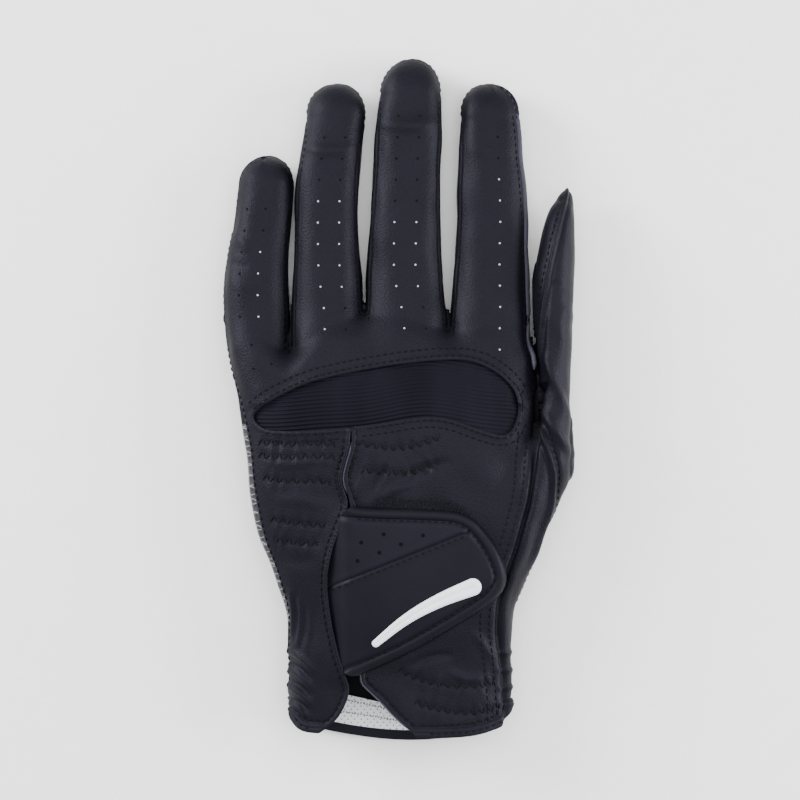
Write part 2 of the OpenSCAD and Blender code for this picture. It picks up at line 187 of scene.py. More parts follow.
def along(points, step, closed=False):
    """Points at equal steps along a line, and the direction there."""
    p = np.asarray(points, float)
    if closed:
        p = np.vstack([p, p[:1]])
    length = np.r_[0, np.cumsum(np.linalg.norm(np.diff(p, axis=0), axis=1))]
    s = np.arange(step / 2, length[-1], step)

    def at(run):
        return np.stack([np.interp(run, length, axis) for axis in p.T], 1)

    return at(s), unit(at(s + 0.4) - at(s - 0.4))


def offset_line(points, d):
    """A line moved sideways in the plan, to its left for a positive d."""
    p = np.asarray(points, float)
    t = unit(np.gradient(p, axis=0))
    return p + d * np.stack([-t[:, 1], t[:, 0]], 1)


# ------------------------------------------------------------------------------------------------
# The shell as an implicit surface: negative inside
# ------------------------------------------------------------------------------------------------

def tube(u, w, a, b, n):
    """Distance from a superellipse section with half width a and half height b."""
    r = (np.abs(u / a) ** n + np.abs(w / b) ** n) ** (1 / n) + 1e-6
    slope = np.hypot((np.abs(u / a) / r) ** (n - 1) / a, (np.abs(w / b) / r) ** (n - 1) / b)
    return (r - 1) / np.maximum(slope, 0.6 / np.maximum(a, b))


def palm_field(p):
    x, y, z = p.T
    end = column(PALM_END, x, 1)
    over = np.clip((y - (end - 9)) / 9, 0, 0.999)      # the last stretch rounds over
    left, right, top = (column(PALM, y, k) for k in (1, 2, 3))
    half_h = (top - BASE) / 2 * np.sqrt(1 - over ** 2.4)
    middle = (top - BASE) / 2 + BASE - 1.5 * over
    f = tube(x - (left + right) / 2, z - middle, (right - left) / 2, np.maximum(half_h, 2.6), SQUARE["palm"])
    return np.where(y > end, np.maximum(f, y - end), f)


def finger_frame(f, y):
    """Centre X, half width, centre Z and half height of a finger at Y."""
    rows = f["rows"]
    tip_y, tip_x = f["tip"]
    t = np.clip((y - (tip_y - f["round"])) / f["round"], 0, 0.9995)
    left, right, top = (column(rows, y, k) for k in (1, 2, 3))
    centre = (left + right) / 2
    k = np.sqrt(1 - t ** 2.25)
    cx = centre + (tip_x - centre) * t ** 2
    half_h = (top - BASE) / 2
    return cx, (right - left) / 2 * k, BASE + half_h - 0.9 * t ** 2, half_h * np.sqrt(1 - t ** 2.1)


def finger_field(f, p):
    x, y, z = p.T
    cx, a, cz, b = finger_frame(f, y)
    field = tube(x - cx, z - cz, a, b, SQUARE["finger"])
    field = np.where(y < 0, np.maximum(field, -y), field)        # it starts inside the palm
    return np.where(y > f["tip"][0], np.maximum(field, y - f["tip"][0]), field)


def thumb_frame(y):
    left, right, low, high = (column(THUMB, y, k) for k in (1, 2, 3, 4))
    start, (tip_y, tip_x) = THUMB[-1][0] - 3, THUMB_TIP
    t = np.clip((y - start) / (tip_y - start), 0, 0.9995)
    k = np.sqrt(1 - t ** 2.2)
    centre = (left + right) / 2
    cx = centre + (tip_x - centre) * t ** 1.5
    return cx, (right - left) / 2 * k, (low + high) / 2, (high - low) / 2 * k


def thumb_field(p):
    x, y, z = p.T
    cx, a, cz, b = thumb_frame(y)
    field = tube(x - cx, z - cz, a, b, SQUARE["thumb"])
    return np.where(y > THUMB_TIP[0], np.maximum(field, y - THUMB_TIP[0]), field)


def soft_min(a, b, k):
    h = np.clip(0.5 + 0.5 * (b - a) / k, 0, 1)
    return b + (a - b) * h - k * h * (1 - h)


def shell(p):
    """The whole glove, blown up as a hand fills it."""
    fingers = np.minimum.reduce([finger_field(f, p) for f in FINGERS.values()])
    hand = soft_min(palm_field(p), fingers, 3.5)
    k = 0.2 + 7 * smooth((-6 - p[:, 1]) / 24)
    return soft_min(hand, thumb_field(p), k)


def gradient(field, p, e=0.05):
    g = np.empty_like(p)
    for k in range(3):
        step = np.zeros(3)
        step[k] = e
        g[:, k] = (field(p + step) - field(p - step)) / (2 * e)
    return g


def to_surface(p, level=0.0, passes=4):
    """Points moved onto the shell's surface, and the outward normals there."""
    p = p.copy()
    for _ in range(passes):
        g = gradient(shell, p)
        size = np.maximum((g * g).sum(1), 0.05)
        step = ((shell(p) - level) / size)[:, None] * g
        size = np.linalg.norm(step, axis=1, keepdims=True)
        p -= step * np.minimum(1, 1.0 / (size + 1e-9))
    return p, unit(gradient(shell, p, 0.15))


def back_height(xy):
    """Height of the back of the glove over points of the plan."""
    low, high = np.full(len(xy), 12.0), np.full(len(xy), 34.0)
    for _ in range(16):
        mid = (low + high) / 2
        inside = shell(np.column_stack([xy, mid])) < 0
        low, high = np.where(inside, mid, low), np.where(inside, high, mid)
    return low


# ------------------------------------------------------------------------------------------------
# Triangle meshes: (points, triangles), with more columns on the points where they are wanted
# ------------------------------------------------------------------------------------------------

def edges_of(t):
    """The three edges of every triangle, as pairs of points."""
    return np.vstack([t[:, [0, 1]], t[:, [1, 2]], t[:, [2, 0]]])


def shell_mesh(spacing):
    low, high = np.array([-63.0, -124.0, -3.0]), np.array([62.0, 119.0, 31.0])
    axes = [np.arange(a, b, spacing) for a, b in zip(low, high)]
    grid = np.stack(np.meshgrid(*axes, indexing="ij"), -1).reshape(-1, 3)
    field = np.concatenate([shell(part) for part in np.array_split(grid, 12)])
    volume = openvdb.FloatGrid(background=3.0)
    volume.copyFromArray(np.clip(field, -3, 3).reshape([len(a) for a in axes]).astype(np.float32))
    points, quads = volume.convertToQuads(isovalue=0.0)
    points = points.astype(float) * spacing + low
    quads = quads.astype(int)
    tris = np.vstack([quads[:, [0, 1, 2]], quads[:, [0, 2, 3]]])
    points, normals = to_surface(points)
    a, b, c = (points[tris[:, k]] for k in range(3))
    facing = (np.cross(b - a, c - a) * normals[tris[:, 0]]).sum(1).sum()
    return points, tris if facing > 0 else tris[:, ::-1]


def relaxed(p, t, passes=3):
    """Evens out the triangles: every point moves towards its neighbours' mean, then back to the surface."""
    a, b = edges_of(t).T
    count = np.bincount(a, minlength=len(p)) + np.bincount(b, minlength=len(p))
    for _ in range(passes):
        total = [np.bincount(a, axis[b], len(p)) + np.bincount(b, axis[a], len(p)) for axis in p.T]
        p = p + 0.6 * (np.stack(total, 1) / np.maximum(count, 1)[:, None] - p)
        p, _ = to_surface(p, passes=1)
    return p


def refined(p, t, longest, passes=3):
    """Splits every edge that is longer than longest(midpoint)."""
    for _ in range(passes):
        e = np.sort(edges_of(t), 1)
        key, inverse = np.unique(e[:, 0] * len(p) + e[:, 1], return_inverse=True)
        ends = np.stack([key // len(p), key % len(p)], 1)
        mid = (p[ends[:, 0]] + p[ends[:, 1]]) / 2
        length = np.linalg.norm(p[ends[:, 0]] - p[ends[:, 1]], axis=1)
        split = length > longest(mid)
        if not split.any():
            break
        new_id = np.full(len(key), -1)
        new_id[split] = len(p) + np.arange(split.sum())
        added, _ = to_surface(mid[split], passes=1)
        p = np.vstack([p, added])
        m = new_id[inverse].reshape(3, -1).T        # new point on edges 01, 12, 20 of each triangle
        count = (m >= 0).sum(1)
        out = [t[count == 0]]
        full = count == 3
        a, b, c = t[full].T
        ab, bc, ca = m[full].T
        out += [np.stack(s, 1) for s in ((a, ab, ca), (ab, b, bc), (ca, bc, c), (ab, bc, ca))]
        for turn in range(3):
            r = np.roll(t, -turn, 1)
            n = np.roll(m, -turn, 1)
            one = (count == 1) & (n[:, 0] >= 0)
            a, b, c = r[one].T
            ab = n[one, 0]
            out += [np.stack(s, 1) for s in ((a, ab, c), (ab, b, c))]
            two = (count == 2) & (n[:, 0] >= 0) & (n[:, 1] >= 0)
            a, b, c = r[two].T
            ab, bc = n[two, 0], n[two, 1]
            out += [np.stack(s, 1) for s in ((ab, b, bc), (a, ab, bc), (a, bc, c))]
        t = np.vstack(out)
    return p, t


def clipped(p, t, s):
    """The part of a mesh where s > 0; points may have any number of columns, cut edges are interpolated."""
    s = np.where(np.abs(s) < 1e-7, 1e-7, s)
    pos = s[t] > 0
    n = pos.sum(1)
    keep = [t[n == 3]]
    cut = t[(n == 1) | (n == 2)]
    if len(cut):
        side = s[cut] > 0
        e = np.stack([cut, np.roll(cut, -1, 1)], 2).reshape(-1, 2)
        lo, hi = e.min(1), e.max(1)
        crossing = (s[lo] > 0) != (s[hi] > 0)
        key = np.where(crossing, lo * len(p) + hi, -1)
        used, inverse = np.unique(key, return_inverse=True)
        ids = np.full(len(used), -1)
        real = used >= 0
        ids[real] = len(p) + np.arange(real.sum())
        a, b = used[real] // len(p), used[real] % len(p)
        f = (s[a] / (s[a] - s[b]))[:, None]
        p = np.vstack([p, p[a] + (p[b] - p[a]) * f])
        on = ids[inverse].reshape(-1, 3)               # new point on edges 01, 12, 20
        for turn in range(3):
            c = np.roll(cut, -turn, 1)
            d = np.roll(side, -turn, 1)
            o = np.roll(on, -turn, 1)
            one = d[:, 0] & ~d[:, 1] & ~d[:, 2]
            keep.append(np.stack([c[one, 0], o[one, 0], o[one, 2]], 1))
            two = d[:, 0] & d[:, 1] & ~d[:, 2]
            keep.append(np.stack([c[two, 0], c[two, 1], o[two, 1]], 1))
            keep.append(np.stack([c[two, 0], o[two, 1], o[two, 2]], 1))
    t = np.vstack(keep)
    a, b = p[t[:, 1], :3] - p[t[:, 0], :3], p[t[:, 2], :3] - p[t[:, 0], :3]
    square = (a * a).sum(1) * (b * b).sum(1) - (a * b).sum(1) ** 2
    return tidy_mesh(p, t[square > 1e-9])              # without the slivers along the cut


def tidy_mesh(p, t):
    used, inverse = np.unique(t, return_inverse=True)
    return p[used], inverse.reshape(-1, 3)


def vertex_normals(p, t):
    n = np.cross(p[t[:, 1]] - p[t[:, 0]], p[t[:, 2]] - p[t[:, 0]])
    out = np.zeros_like(p)
    for corner in t.T:
        for c in range(3):
            out[:, c] += np.bincount(corner, n[:, c], len(p))
    return unit(out)


def make_object(name, p, t, material, normals=None):
    mesh = bpy.data.meshes.new(name)
    mesh.vertices.add(len(p))
    mesh.vertices.foreach_set("co", (np.asarray(p)[:, :3] * MM).astype(np.float32).ravel())
    mesh.loops.add(len(t) * 3)
    mesh.loops.foreach_set("vertex_index", t.astype(np.int32).ravel())
    mesh.polygons.add(len(t))
    mesh.polygons.foreach_set("loop_start", np.arange(0, len(t) * 3, 3, dtype=np.int32))
    mesh.update(calc_edges=True)
    mesh.validate()
    mesh.polygons.foreach_set("use_smooth", np.full(len(mesh.polygons), True))
    if normals is not None and len(mesh.vertices) == len(normals):
        mesh.normals_split_custom_set_from_vertices([Vector(n) for n in normals])
    mesh.materials.append(material)
    obj = bpy.data.objects.new(name, mesh)
    bpy.context.scene.collection.objects.link(obj)
    return obj


# ------------------------------------------------------------------------------------------------
# Seams: each is a signed function whose zero line is the seam
# ------------------------------------------------------------------------------------------------

LANE_EDGES = (-36.7, -11.9, 16.2)      # X between the lanes of the fingers
# Y where a finger parts from the hand's panels, and the line that it bends about
BEND = {"little": (19.8, 27), "ring": (32, 40), "middle": (32, 40), "index": (26.6, 35)}
INSERT_LINE = rounded(INSERT, 2)
SLIT_LINE = rounded(SLIT, 1)
TAB_LINE = rounded(TAB, 2)
SEAM_RIGHT = rounded(RIGHT_SEAM, 2, closed=False)
QUIRK = rounded([(45, -4), (46.3, -8), (49.8, -18.6), (51.4, -26), (50.6, -35.7), (47.2, -44),
    (43.6, -55.5), (38, -66), (34, -74)], 2, closed=False)
THUMB_SEAM = rounded([(45.8, 4), (45.9, 14), (46.2, 22), (47.4, 32), (49.1, 42), (51.3, 52), (53.6, 61),
    (55.8, 69), (56.2, 74)], 1, closed=False)
SLIT_AXIS = [(-16, 20), (-16.3, -9.6), (-16.15, -12), (-16.5, -16), (-18.5, -22.5), (-19.1, -26.6),
    (-17.5, -31), (-16.3, -33.5), (-15, -36.5), (-16, -44), (-18, -60), (-17.5, -80), (-15.3, -91),
    (-14.6, -94), (-14.5, -97), (-12, -104), (-12, -120)]
CUFF_BACK = [(-60, -98), (-37, -98), (-36.9, -102.6), (-35.9, -107.2), (-33.4, -109.6), (-29.8, -110.4),
    (-24.7, -110.4), (-14, -110.6), (-4, -111.2), (8.5, -112), (18, -111.8), (26.3, -110.9), (33.5, -108.7),
    (36.5, -106.2), (37, -101.6), (37.4, -98), (60, -98)]
CUFF_PALM = [(-60, -98), (-37, -98), (-36.4, -104), (-33, -108.4), (-26, -110.8), (-14.5, -113),
    (-4, -114.2), (6, -114.5), (16, -113.8), (27, -111.8), (33.6, -108.8), (36.6, -104.8), (37.4, -98),
    (60, -98)]
# Where the thumb starts to turn, in which direction, and over what length
THUMB_AXIS = (np.array([46.0, -8.0]), np.array([0.447, 0.894]), 18.0)


def line_at(points, value, by=1):
    """The other coordinate of a line at a value of X (by=0) or Y (by=1)."""
    q = np.asarray(points, float)
    order = np.argsort(q[:, by])
    return np.interp(value, q[order, by], q[order, 1 - by])


def line_coords(points, xy):
    """Signed distance from a line (positive on its left), and how far along it, from 0 to 1."""
    a = np.asarray(points, float)
    b = a[1:]
    a = a[:-1]
    seg = np.linalg.norm(b - a, axis=1)
    run = np.r_[0, np.cumsum(seg)]
    best = np.full(len(xy), 1e18)
    signed = np.zeros(len(xy))
    share = np.zeros(len(xy))
    for k in range(len(a)):
        d = b[k] - a[k]
        r = xy - a[k]
        t = np.clip((r @ d) / (d @ d + 1e-12), 0, 1)
        q = r - t[:, None] * d
        dist = (q * q).sum(1)
        closer = dist < best
        best[closer] = dist[closer]
        cross = d[0] * r[:, 1] - d[1] * r[:, 0]
        signed[closer] = (np.sqrt(dist) * np.where(cross >= 0, 1, -1))[closer]
        share[closer] = ((run[k] + t * seg[k]) / run[-1])[closer]
    return signed, share


# In eighths of a finger's half height: half the height of a side gusset, and the height of the seam on the
# index finger's outer side
GUSSET, OUTSEAM = 3.7, 3.2


def gusset_half(name, y):
    """Half the height of the side gusset, in eighths of the finger's half height; it ends before the tip."""
    tip = FINGERS[name]["tip"][0]
    return GUSSET * (1 - smooth((y - tip + 22) / 15))


# Height of the outer seam down the little-finger side
LEFT_SEAM = [(-130, 11), (-100, 12), (-84, 13.5), (-70, 16), (-50, 17.6), (-30, 18.4), (-10, 17.8),
    (2, 15.4), (14, 12.6), (26, 11.4), (40, 10.6), (100, 10)]


def left_side_level(p):
    """The outer seam down the little-finger side: positive towards the back."""
    return p[:, 2] - column(LEFT_SEAM, p[:, 1], 1)


def finger_level(name, p):
    _, _, cz, b = finger_frame(FINGERS[name], p[:, 1])
    return (p[:, 2] - cz) / np.maximum(b, 1.5) * 8


def finger_seams(name, p):
    """Signed functions of a finger's upper and lower seams: positive above the one and below the other."""
    level = finger_level(name, p)
    half = gusset_half(name, p[:, 1])
    cx, a, _, _ = finger_frame(FINGERS[name], p[:, 1])
    across = (p[:, 0] - cx) / np.maximum(a, 1)
    if name == "little":                    # its outer side has one seam only
        outer = smooth((-across - 0.1) / 0.3)
        side = left_side_level(p)
        return (level - half) * (1 - outer) + side * outer, -(level + half) * (1 - outer) - side * outer
    if name == "index":
        outer = smooth((across - 0.1) / 0.3)
        side = level - OUTSEAM
        return (level - half) * (1 - outer) + side * outer, -(level + half) * (1 - outer) - side * outer
    return level - half, -(level + half)


def right_side_level(p):
    """Positive on the back of the hand: above its middle and to the left of the thumb-side seam."""
    return np.minimum(p[:, 2] - 11.5, line_at(SEAM_RIGHT, p[:, 1]) - p[:, 0])


def hand_side(p):
    """Positive on the hand's back panels, negative on the palm."""
    return np.where(p[:, 0] < -5, left_side_level(p), right_side_level(p))


def finger_of(p):
    """Which finger's lane each point lies in."""
    return np.digitize(p[:, 0], LANE_EDGES)


def root_side(p, part):
    """At the finger roots, the fingers' own upper or lower seams."""
    out = np.zeros(len(p))
    for k, name in enumerate(FINGERS):
        m = finger_of(p) == k
        if m.any():
            out[m] = finger_seams(name, p[m])[part]
    return out


def above_insert(p):
    """Positive on the knuckle side of the insert's ends."""
    return p[:, 1] - np.interp(p[:, 0], [-60, -49.4, -30, 25, 38, 60], [-3, -5.2, 0, 0, -9.6, -13])


def lane(name, p):
    """Positive where a finger is nearer than the other fingers and the thumb."""
    others = [finger_field(f, p) for k, f in FINGERS.items() if k != name]
    return np.minimum.reduce([thumb_field(p), *others]) - finger_field(FINGERS[name], p)


def root_of(name):
    """Positive where a finger's own panels haven't begun: below its root, or in another finger's lane."""
    return lambda p: np.maximum(BEND[name][0] - p[:, 1], -lane(name, p))


def thumb_part(p):
    """Positive on the part of the thumb that turns."""
    start, direction, _ = THUMB_AXIS
    ahead = (p[:, :2] - start) @ direction
    own = np.minimum(palm_field(p), finger_field(INDEX, p)) - thumb_field(p)
    return np.minimum(ahead, own)


# ------------------------------------------------------------------------------------------------
# Relief: how far the leather stands off the smooth shell, as a function of place
# ------------------------------------------------------------------------------------------------

def dip(d, width):
    return np.exp(-(d / width) ** 2)


def above_side(p):
    """1 on the back of the glove, fading to 0 on its sides and palm."""
    return smooth((p[:, 2] - 8) / 5)


def stroke(p, points, width, height, lean=0.0):
    """One fold: a ridge (or a valley for a negative height) along a line in the plan, fading at its ends;
    lean tips it over, so that one side of the line stands higher than the other."""
    d, s = line_coords(rounded(points, 2, closed=False), p[:, :2])
    near = np.abs(d) < 3.5 * width
    fade = np.sin(np.pi * np.clip(s, 0.001, 0.999)) ** 0.7
    out = np.zeros(len(p))
    u = d[near] / width
    out[near] = fade[near] * np.exp(-u * u) * (height + lean * u)
    return out * above_side(p)


# Folds: the line, its half width, its height and its lean
FOLDS = [
    # thumb and its root
    ([(47.6, 17), (51, 8), (54.5, 0), (57.6, -9)], 1.5, 1.0, -0.7),
    ([(47.6, -1), (50.5, -7), (53.6, -12.6), (58, -19)], 1.7, 1.1, -0.8),
    ([(49, 27), (52, 20), (53.5, 10), (53, 2)], 2.4, -0.7, 0.0),
    ([(50, 40), (53.5, 38), (57.5, 39)], 1.8, -0.35, 0.3),
    ([(51, 31), (55, 28.5), (58.5, 26)], 2.2, 0.4, 0.25),
    # back of the hand below the insert
    ([(-3, -28), (4, -24), (11, -21), (17, -19.5)], 1.6, -0.85, 0.45),
    ([(-12, -33), (-8, -27), (-4.5, -21)], 1.2, -0.75, 0.45),
    ([(-15, -32), (-12, -25), (-11, -19)], 1.1, 0.65, 0.1),
    ([(-7, -33), (-2, -29), (4, -27)], 1.4, 0.75, 0.1),
    # left of the slit
    ([(-44, -20), (-36, -21.5), (-27, -19.5), (-20, -21)], 1.8, 0.4, 0.2),
    ([(-43, -33), (-34, -32), (-25, -34), (-20.5, -33)], 2.0, 0.35, -0.2),
    ([(-42, -50), (-35, -53), (-28, -52)], 2.2, -0.4, 0.25),
    # wrist, little-finger side: upright pleats, and under them the ones that lean to the cuff
    ([(-36.8, -62), (-35.6, -70), (-36, -79)], 0.9, 0.75, 0.2),
    ([(-35.2, -64), (-34.3, -72), (-35, -80)], 0.7, -0.6, 0.0),
    ([(-33.4, -65), (-32.9, -72), (-34, -82)], 0.9, 0.65, -0.2),
    ([(-31.8, -68), (-31.5, -75), (-33, -83)], 0.7, -0.45, 0.0),
    ([(-30.2, -69), (-30.2, -76), (-31.6, -84)], 0.9, 0.4, 0.2),
    ([(-39, -83), (-33, -85), (-28.2, -90.5)], 1.1, 0.75, 0.35),
    ([(-39, -86.4), (-33.5, -88.2), (-29, -93)], 0.8, -0.65, 0.0),
    ([(-39, -89), (-33.5, -91), (-28.6, -96.4)], 1.1, 0.7, 0.35),
    ([(-39, -92.4), (-34, -94), (-29.4, -98.6)], 0.8, -0.65, 0.0),
    ([(-39, -95), (-34, -96.6), (-29, -101.6)], 1.1, 0.75, 0.35),
    ([(-38.6, -98.4), (-34, -99.6), (-30, -103.6)], 0.8, -0.6, 0.0),
    ([(-38.4, -101), (-33.6, -102.2), (-30, -105.6)], 0.9, 0.55, 0.3),
    # wrist, thumb side, under the tab
    ([(2, -88), (10, -84), (18, -83.5)], 1.3, -0.85, 0.6),
    ([(16, -90), (22, -93), (30, -92)], 1.4, 0.65, 0.35),
    ([(24, -76), (28, -80), (31, -86)], 1.6, 0.5, -0.4),
    ([(31.5, -83), (34, -84.4), (39, -84)], 1.0, 0.6, 0.3),
    ([(31.5, -89), (34, -90.2), (39, -90)], 1.0, 0.65, 0.3),
    ([(31.5, -95), (34, -96), (39, -95.6)], 1.0, 0.7, 0.3),
    ([(31.5, -100.6), (34, -101.4), (39, -101)], 1.0, 0.6, 0.3),
    # fingers: where each one bends a little before its tip
    ([(-33, 84.5), (-24, 82.4), (-14, 84)], 2.1, 0.6, 0.45),
    ([(-31, 79), (-24, 77.5), (-16, 79)], 2.2, -0.28, 0.0),
    ([(-8, 92.5), (2, 90.4), (13, 92.6)], 2.2, 0.6, 0.45),
    ([(-4, 98), (3, 97), (9, 98)], 3.2, -0.4, 0.0),
    ([(21, 84), (30, 82.2), (40, 84)], 2.2, 0.2, 0.15),
    ([(-57.5, 56), (-53.5, 53), (-50.5, 49.5)], 1.7, 0.45, 0.25),
    ([(-58, 47), (-54, 45.4), (-50, 45)], 1.9, -0.35, 0.2),
    ([(-58, 40), (-52, 37.5), (-44, 38.5)], 2.4, 0.2, 0.1),
    # stretch across the knuckles
    ([(-55, 17), (-50, 10), (-47, 4)], 3.0, -0.35, 0.0),
    ([(36.5, 25), (40, 18), (42.5, 10)], 2.2, 0.3, 0.3),
]
# Elastic rows, stitched zigzag: (line, half height of the zigzag)
ELASTICS = [
    ([(-48, -13.4), (-38, -14.4), (-28, -13.6), (-20.5, -14.4)], 1.3),
    ([(-48, -17.6), (-38, -19), (-28, -18), (-20.5, -18.8)], 1.3),
    ([(-46.6, -25.2), (-36, -26.6), (-28, -25.8), (-21.5, -27)], 1.3),
    ([(-44, -39), (-34, -40.4), (-23.5, -41.2)], 1.3),
    ([(-42, -46), (-34, -46.8), (-25.5, -47.5)], 1.3),
    ([(-14.2, -13.4), (-6, -15.4), (4, -15.2), (13.4, -11.6)], 1.3),
    ([(-13.4, -22.4), (-4, -23.6), (6, -23.2), (14, -19.8)], 1.3),
    ([(-1, -88.4), (6, -92), (16, -94.4), (26, -94.6), (33, -92.6)], 1.4),
    ([(4, -99.4), (12, -102.2), (22, -103.6), (33, -101.6)], 1.4),
]


def gathers(p):
    """Puckers that the elastic rows draw in the leather beside them."""
    out = np.zeros(len(p))
    for k, (row, _) in enumerate(ELASTICS):
        line = rounded(row, 2, closed=False)
        d, s = line_coords(line, p[:, :2])
        near = np.abs(d) < 6
        x = s[near] * np.linalg.norm(np.diff(line, axis=0), axis=1).sum()
        wave = np.sin(x * 2 * np.pi / 4.6 + k) + 0.5 * np.sin(x * 2 * np.pi / 2.9 + 2 * k)
        ends = np.clip(np.minimum(s[near], 1 - s[near]) * 8, 0, 1)
        out[near] += ends * (0.17 * wave * dip(d[near], 2.8) - 0.25 * dip(d[near], 1.3))
    return out * above_side(p)


def ripples(p):
    """Slow unevenness of soft leather: the same waves at every call."""
    source = np.random.default_rng(11)
    out = np.zeros(len(p))
    for wave, height in ((26, 0.22), (13, 0.12), (7, 0.06)):
        for _ in range(5):
            direction = source.normal(size=3)
            direction /= np.linalg.norm(direction)
            out += height / 2.2 * np.sin(p @ direction * 2 * np.pi / wave + source.uniform(0, 6.28))
    return out


def seam_grooves(p, n):
    """The valley that every seam draws in the leather."""
    x, y, z = p.T
    out = np.zeros(len(p))
    for k, name in enumerate(FINGERS):
        m = (finger_of(p) == k) & (y > 8) & (x < 45)
        if not m.any():
            continue
        for part in (0, 1):
            d = normal_distance(lambda q: finger_seams(name, q)[part], p[m], n[m])
            out[m] -= smooth((y[m] - 8) / 8) * (0.5 * dip(d, 0.55) - 0.12 * dip(np.abs(d) - 1.7, 0.9))
    m = (y < 16) & (x < -5)
    d = normal_distance(left_side_level, p[m], n[m])
    out[m] -= smooth((16 - y[m]) / 8) * (0.7 * dip(d, 0.8) - 0.12 * dip(np.abs(d) - 2.2, 1.2))
    m = (x > 20) & (y < 14) & (z > 11)
    d = line_at(SEAM_RIGHT, y[m]) - x[m]
    fade = smooth((14 - y[m]) / 5) * smooth((49.5 - x[m]) / 2)
    out[m] += fade * (-1.5 * dip(d, 0.95) + 0.3 * dip(d - 2.2, 1.3) + 0.35 * dip(d + 2.2, 1.1))
    m = (x > 24) & (z > 11) & (y < -4)
    d, s = line_coords(QUIRK, p[m, :2])
    fade = smooth(s / 0.12) * smooth((0.82 - s) / 0.2)
    out[m] += fade * (0.95 * dip(d, 0.8) - 0.6 * dip(d - 1.7, 0.8) - 0.5 * dip(d + 1.7, 0.8))
    m = (x > 44.8) & (y > 2) & (z > 8)
    d = line_coords(THUMB_SEAM, p[m, :2])[0]
    out[m] += smooth((y[m] - 6) / 14) * (0.55 * dip(d, 0.55) - 0.5 * dip(d + 1.3, 0.7))
    d = insert_distance(p)
    m = (np.abs(d) < 6) & (z > BACK_FROM)
    out[m] += -0.75 * smooth(-(d[m] - 0.1) / 0.7) + 0.22 * dip(d[m] - 0.9, 0.7)
    out[(d < -6) & (z > BACK_FROM)] -= 0.75
    return out


def insert_distance(p):
    return plan_distance(INSERT_LINE, p[:, :2])


def slit_distance(p):
    return plan_distance(SLIT_LINE, p[:, :2])


def flap_edges(p):
    """The left flap lies over the tab, so its edge lifts; the right flap's edge lies flat."""
    m = (p[:, 2] > BACK_FROM) & (p[:, 1] < -8) & (p[:, 0] < 6)
    out = np.zeros(len(p))
    d = slit_distance(p[m])
    left = p[m, 0] < line_at(SLIT_AXIS, p[m, 1])
    under_tab = smooth((-32 - p[m, 1]) / 6) * smooth((p[m, 1] + 96) / 6)
    lift = np.where(left, 0.5 + 1.3 * under_tab, 0.2 - 0.5 * under_tab)
    out[m] = lift * np.exp(-np.maximum(d, 0) / 5)
    return out


def relief(p, n):
    """Displacement along the normal, for points of the shell. Same place, same value."""
    out = seam_grooves(p, n) + gathers(p) + ripples(p) * smooth((p[:, 2] - 0.5) / 3) + flap_edges(p)
    for fold in FOLDS:
        out += stroke(p, *fold)
    return out


def normal_distance(value, p, n, e=0.1):
    """Turns a signed function into a distance along the surface, by its slope there."""
    v = value(p)
    g = gradient(value, p, e)
    g -= (g * n).sum(1, keepdims=True) * n
    return v / np.maximum(np.linalg.norm(g, axis=1), 0.15)


# ------------------------------------------------------------------------------------------------
# Materials
# ------------------------------------------------------------------------------------------------

def new_material(name):
    m = bpy.data.materials.new(name)
    m.use_nodes = True
    return m, m.node_tree, m.node_tree.nodes["Principled BSDF"]


def put(tree, socket, value):
    """Links an output to an input socket, or gives the socket a plain value."""
    if isinstance(value, bpy.types.NodeSocket):
        tree.links.new(value, socket)
    else:
        socket.default_value = value


def node(tree, kind, **values):
    """A shader node with its settings and inputs; an underscore in an input's name stands for a space."""
    n = tree.nodes.new("ShaderNode" + kind)
    for key, value in values.items():
        socket = key.replace("_", " ")
        if socket in n.inputs:
            put(tree, n.inputs[socket], value)
        else:
            setattr(n, key, value)
    return n


def combined(tree, operation, *terms):
    n = node(tree, "Math", operation=operation)
    for socket, value in zip(n.inputs, terms):
        put(tree, socket, value)
    return n.outputs[0]


def mixed(tree, share, first, second, blend="MIX"):
    n = node(tree, "Mix", data_type="RGBA", blend_type=blend)
    for k, value in ((0, share), (6, first), (7, second)):
        put(tree, n.inputs[k], value)
    return n.outputs[2]


def ramp(tree, value, *stops):
    n = node(tree, "ValToRGB", Fac=value)
    for e, (at, colour) in zip(n.color_ramp.elements, stops):
        e.position = at
        e.color = (*colour, 1)
    return n.outputs["Color"]


def surface(tree, bsdf, height, strength, depth, invert=False, **values):
    """Gives the shader its bumps and its other inputs."""
    bumps = node(tree, "Bump", Strength=strength, Distance=depth, Height=height, invert=invert)
    values["Normal"] = bumps.outputs["Normal"]
    for key, value in values.items():
        put(tree, bsdf.inputs[key.replace("_", " ")], value)


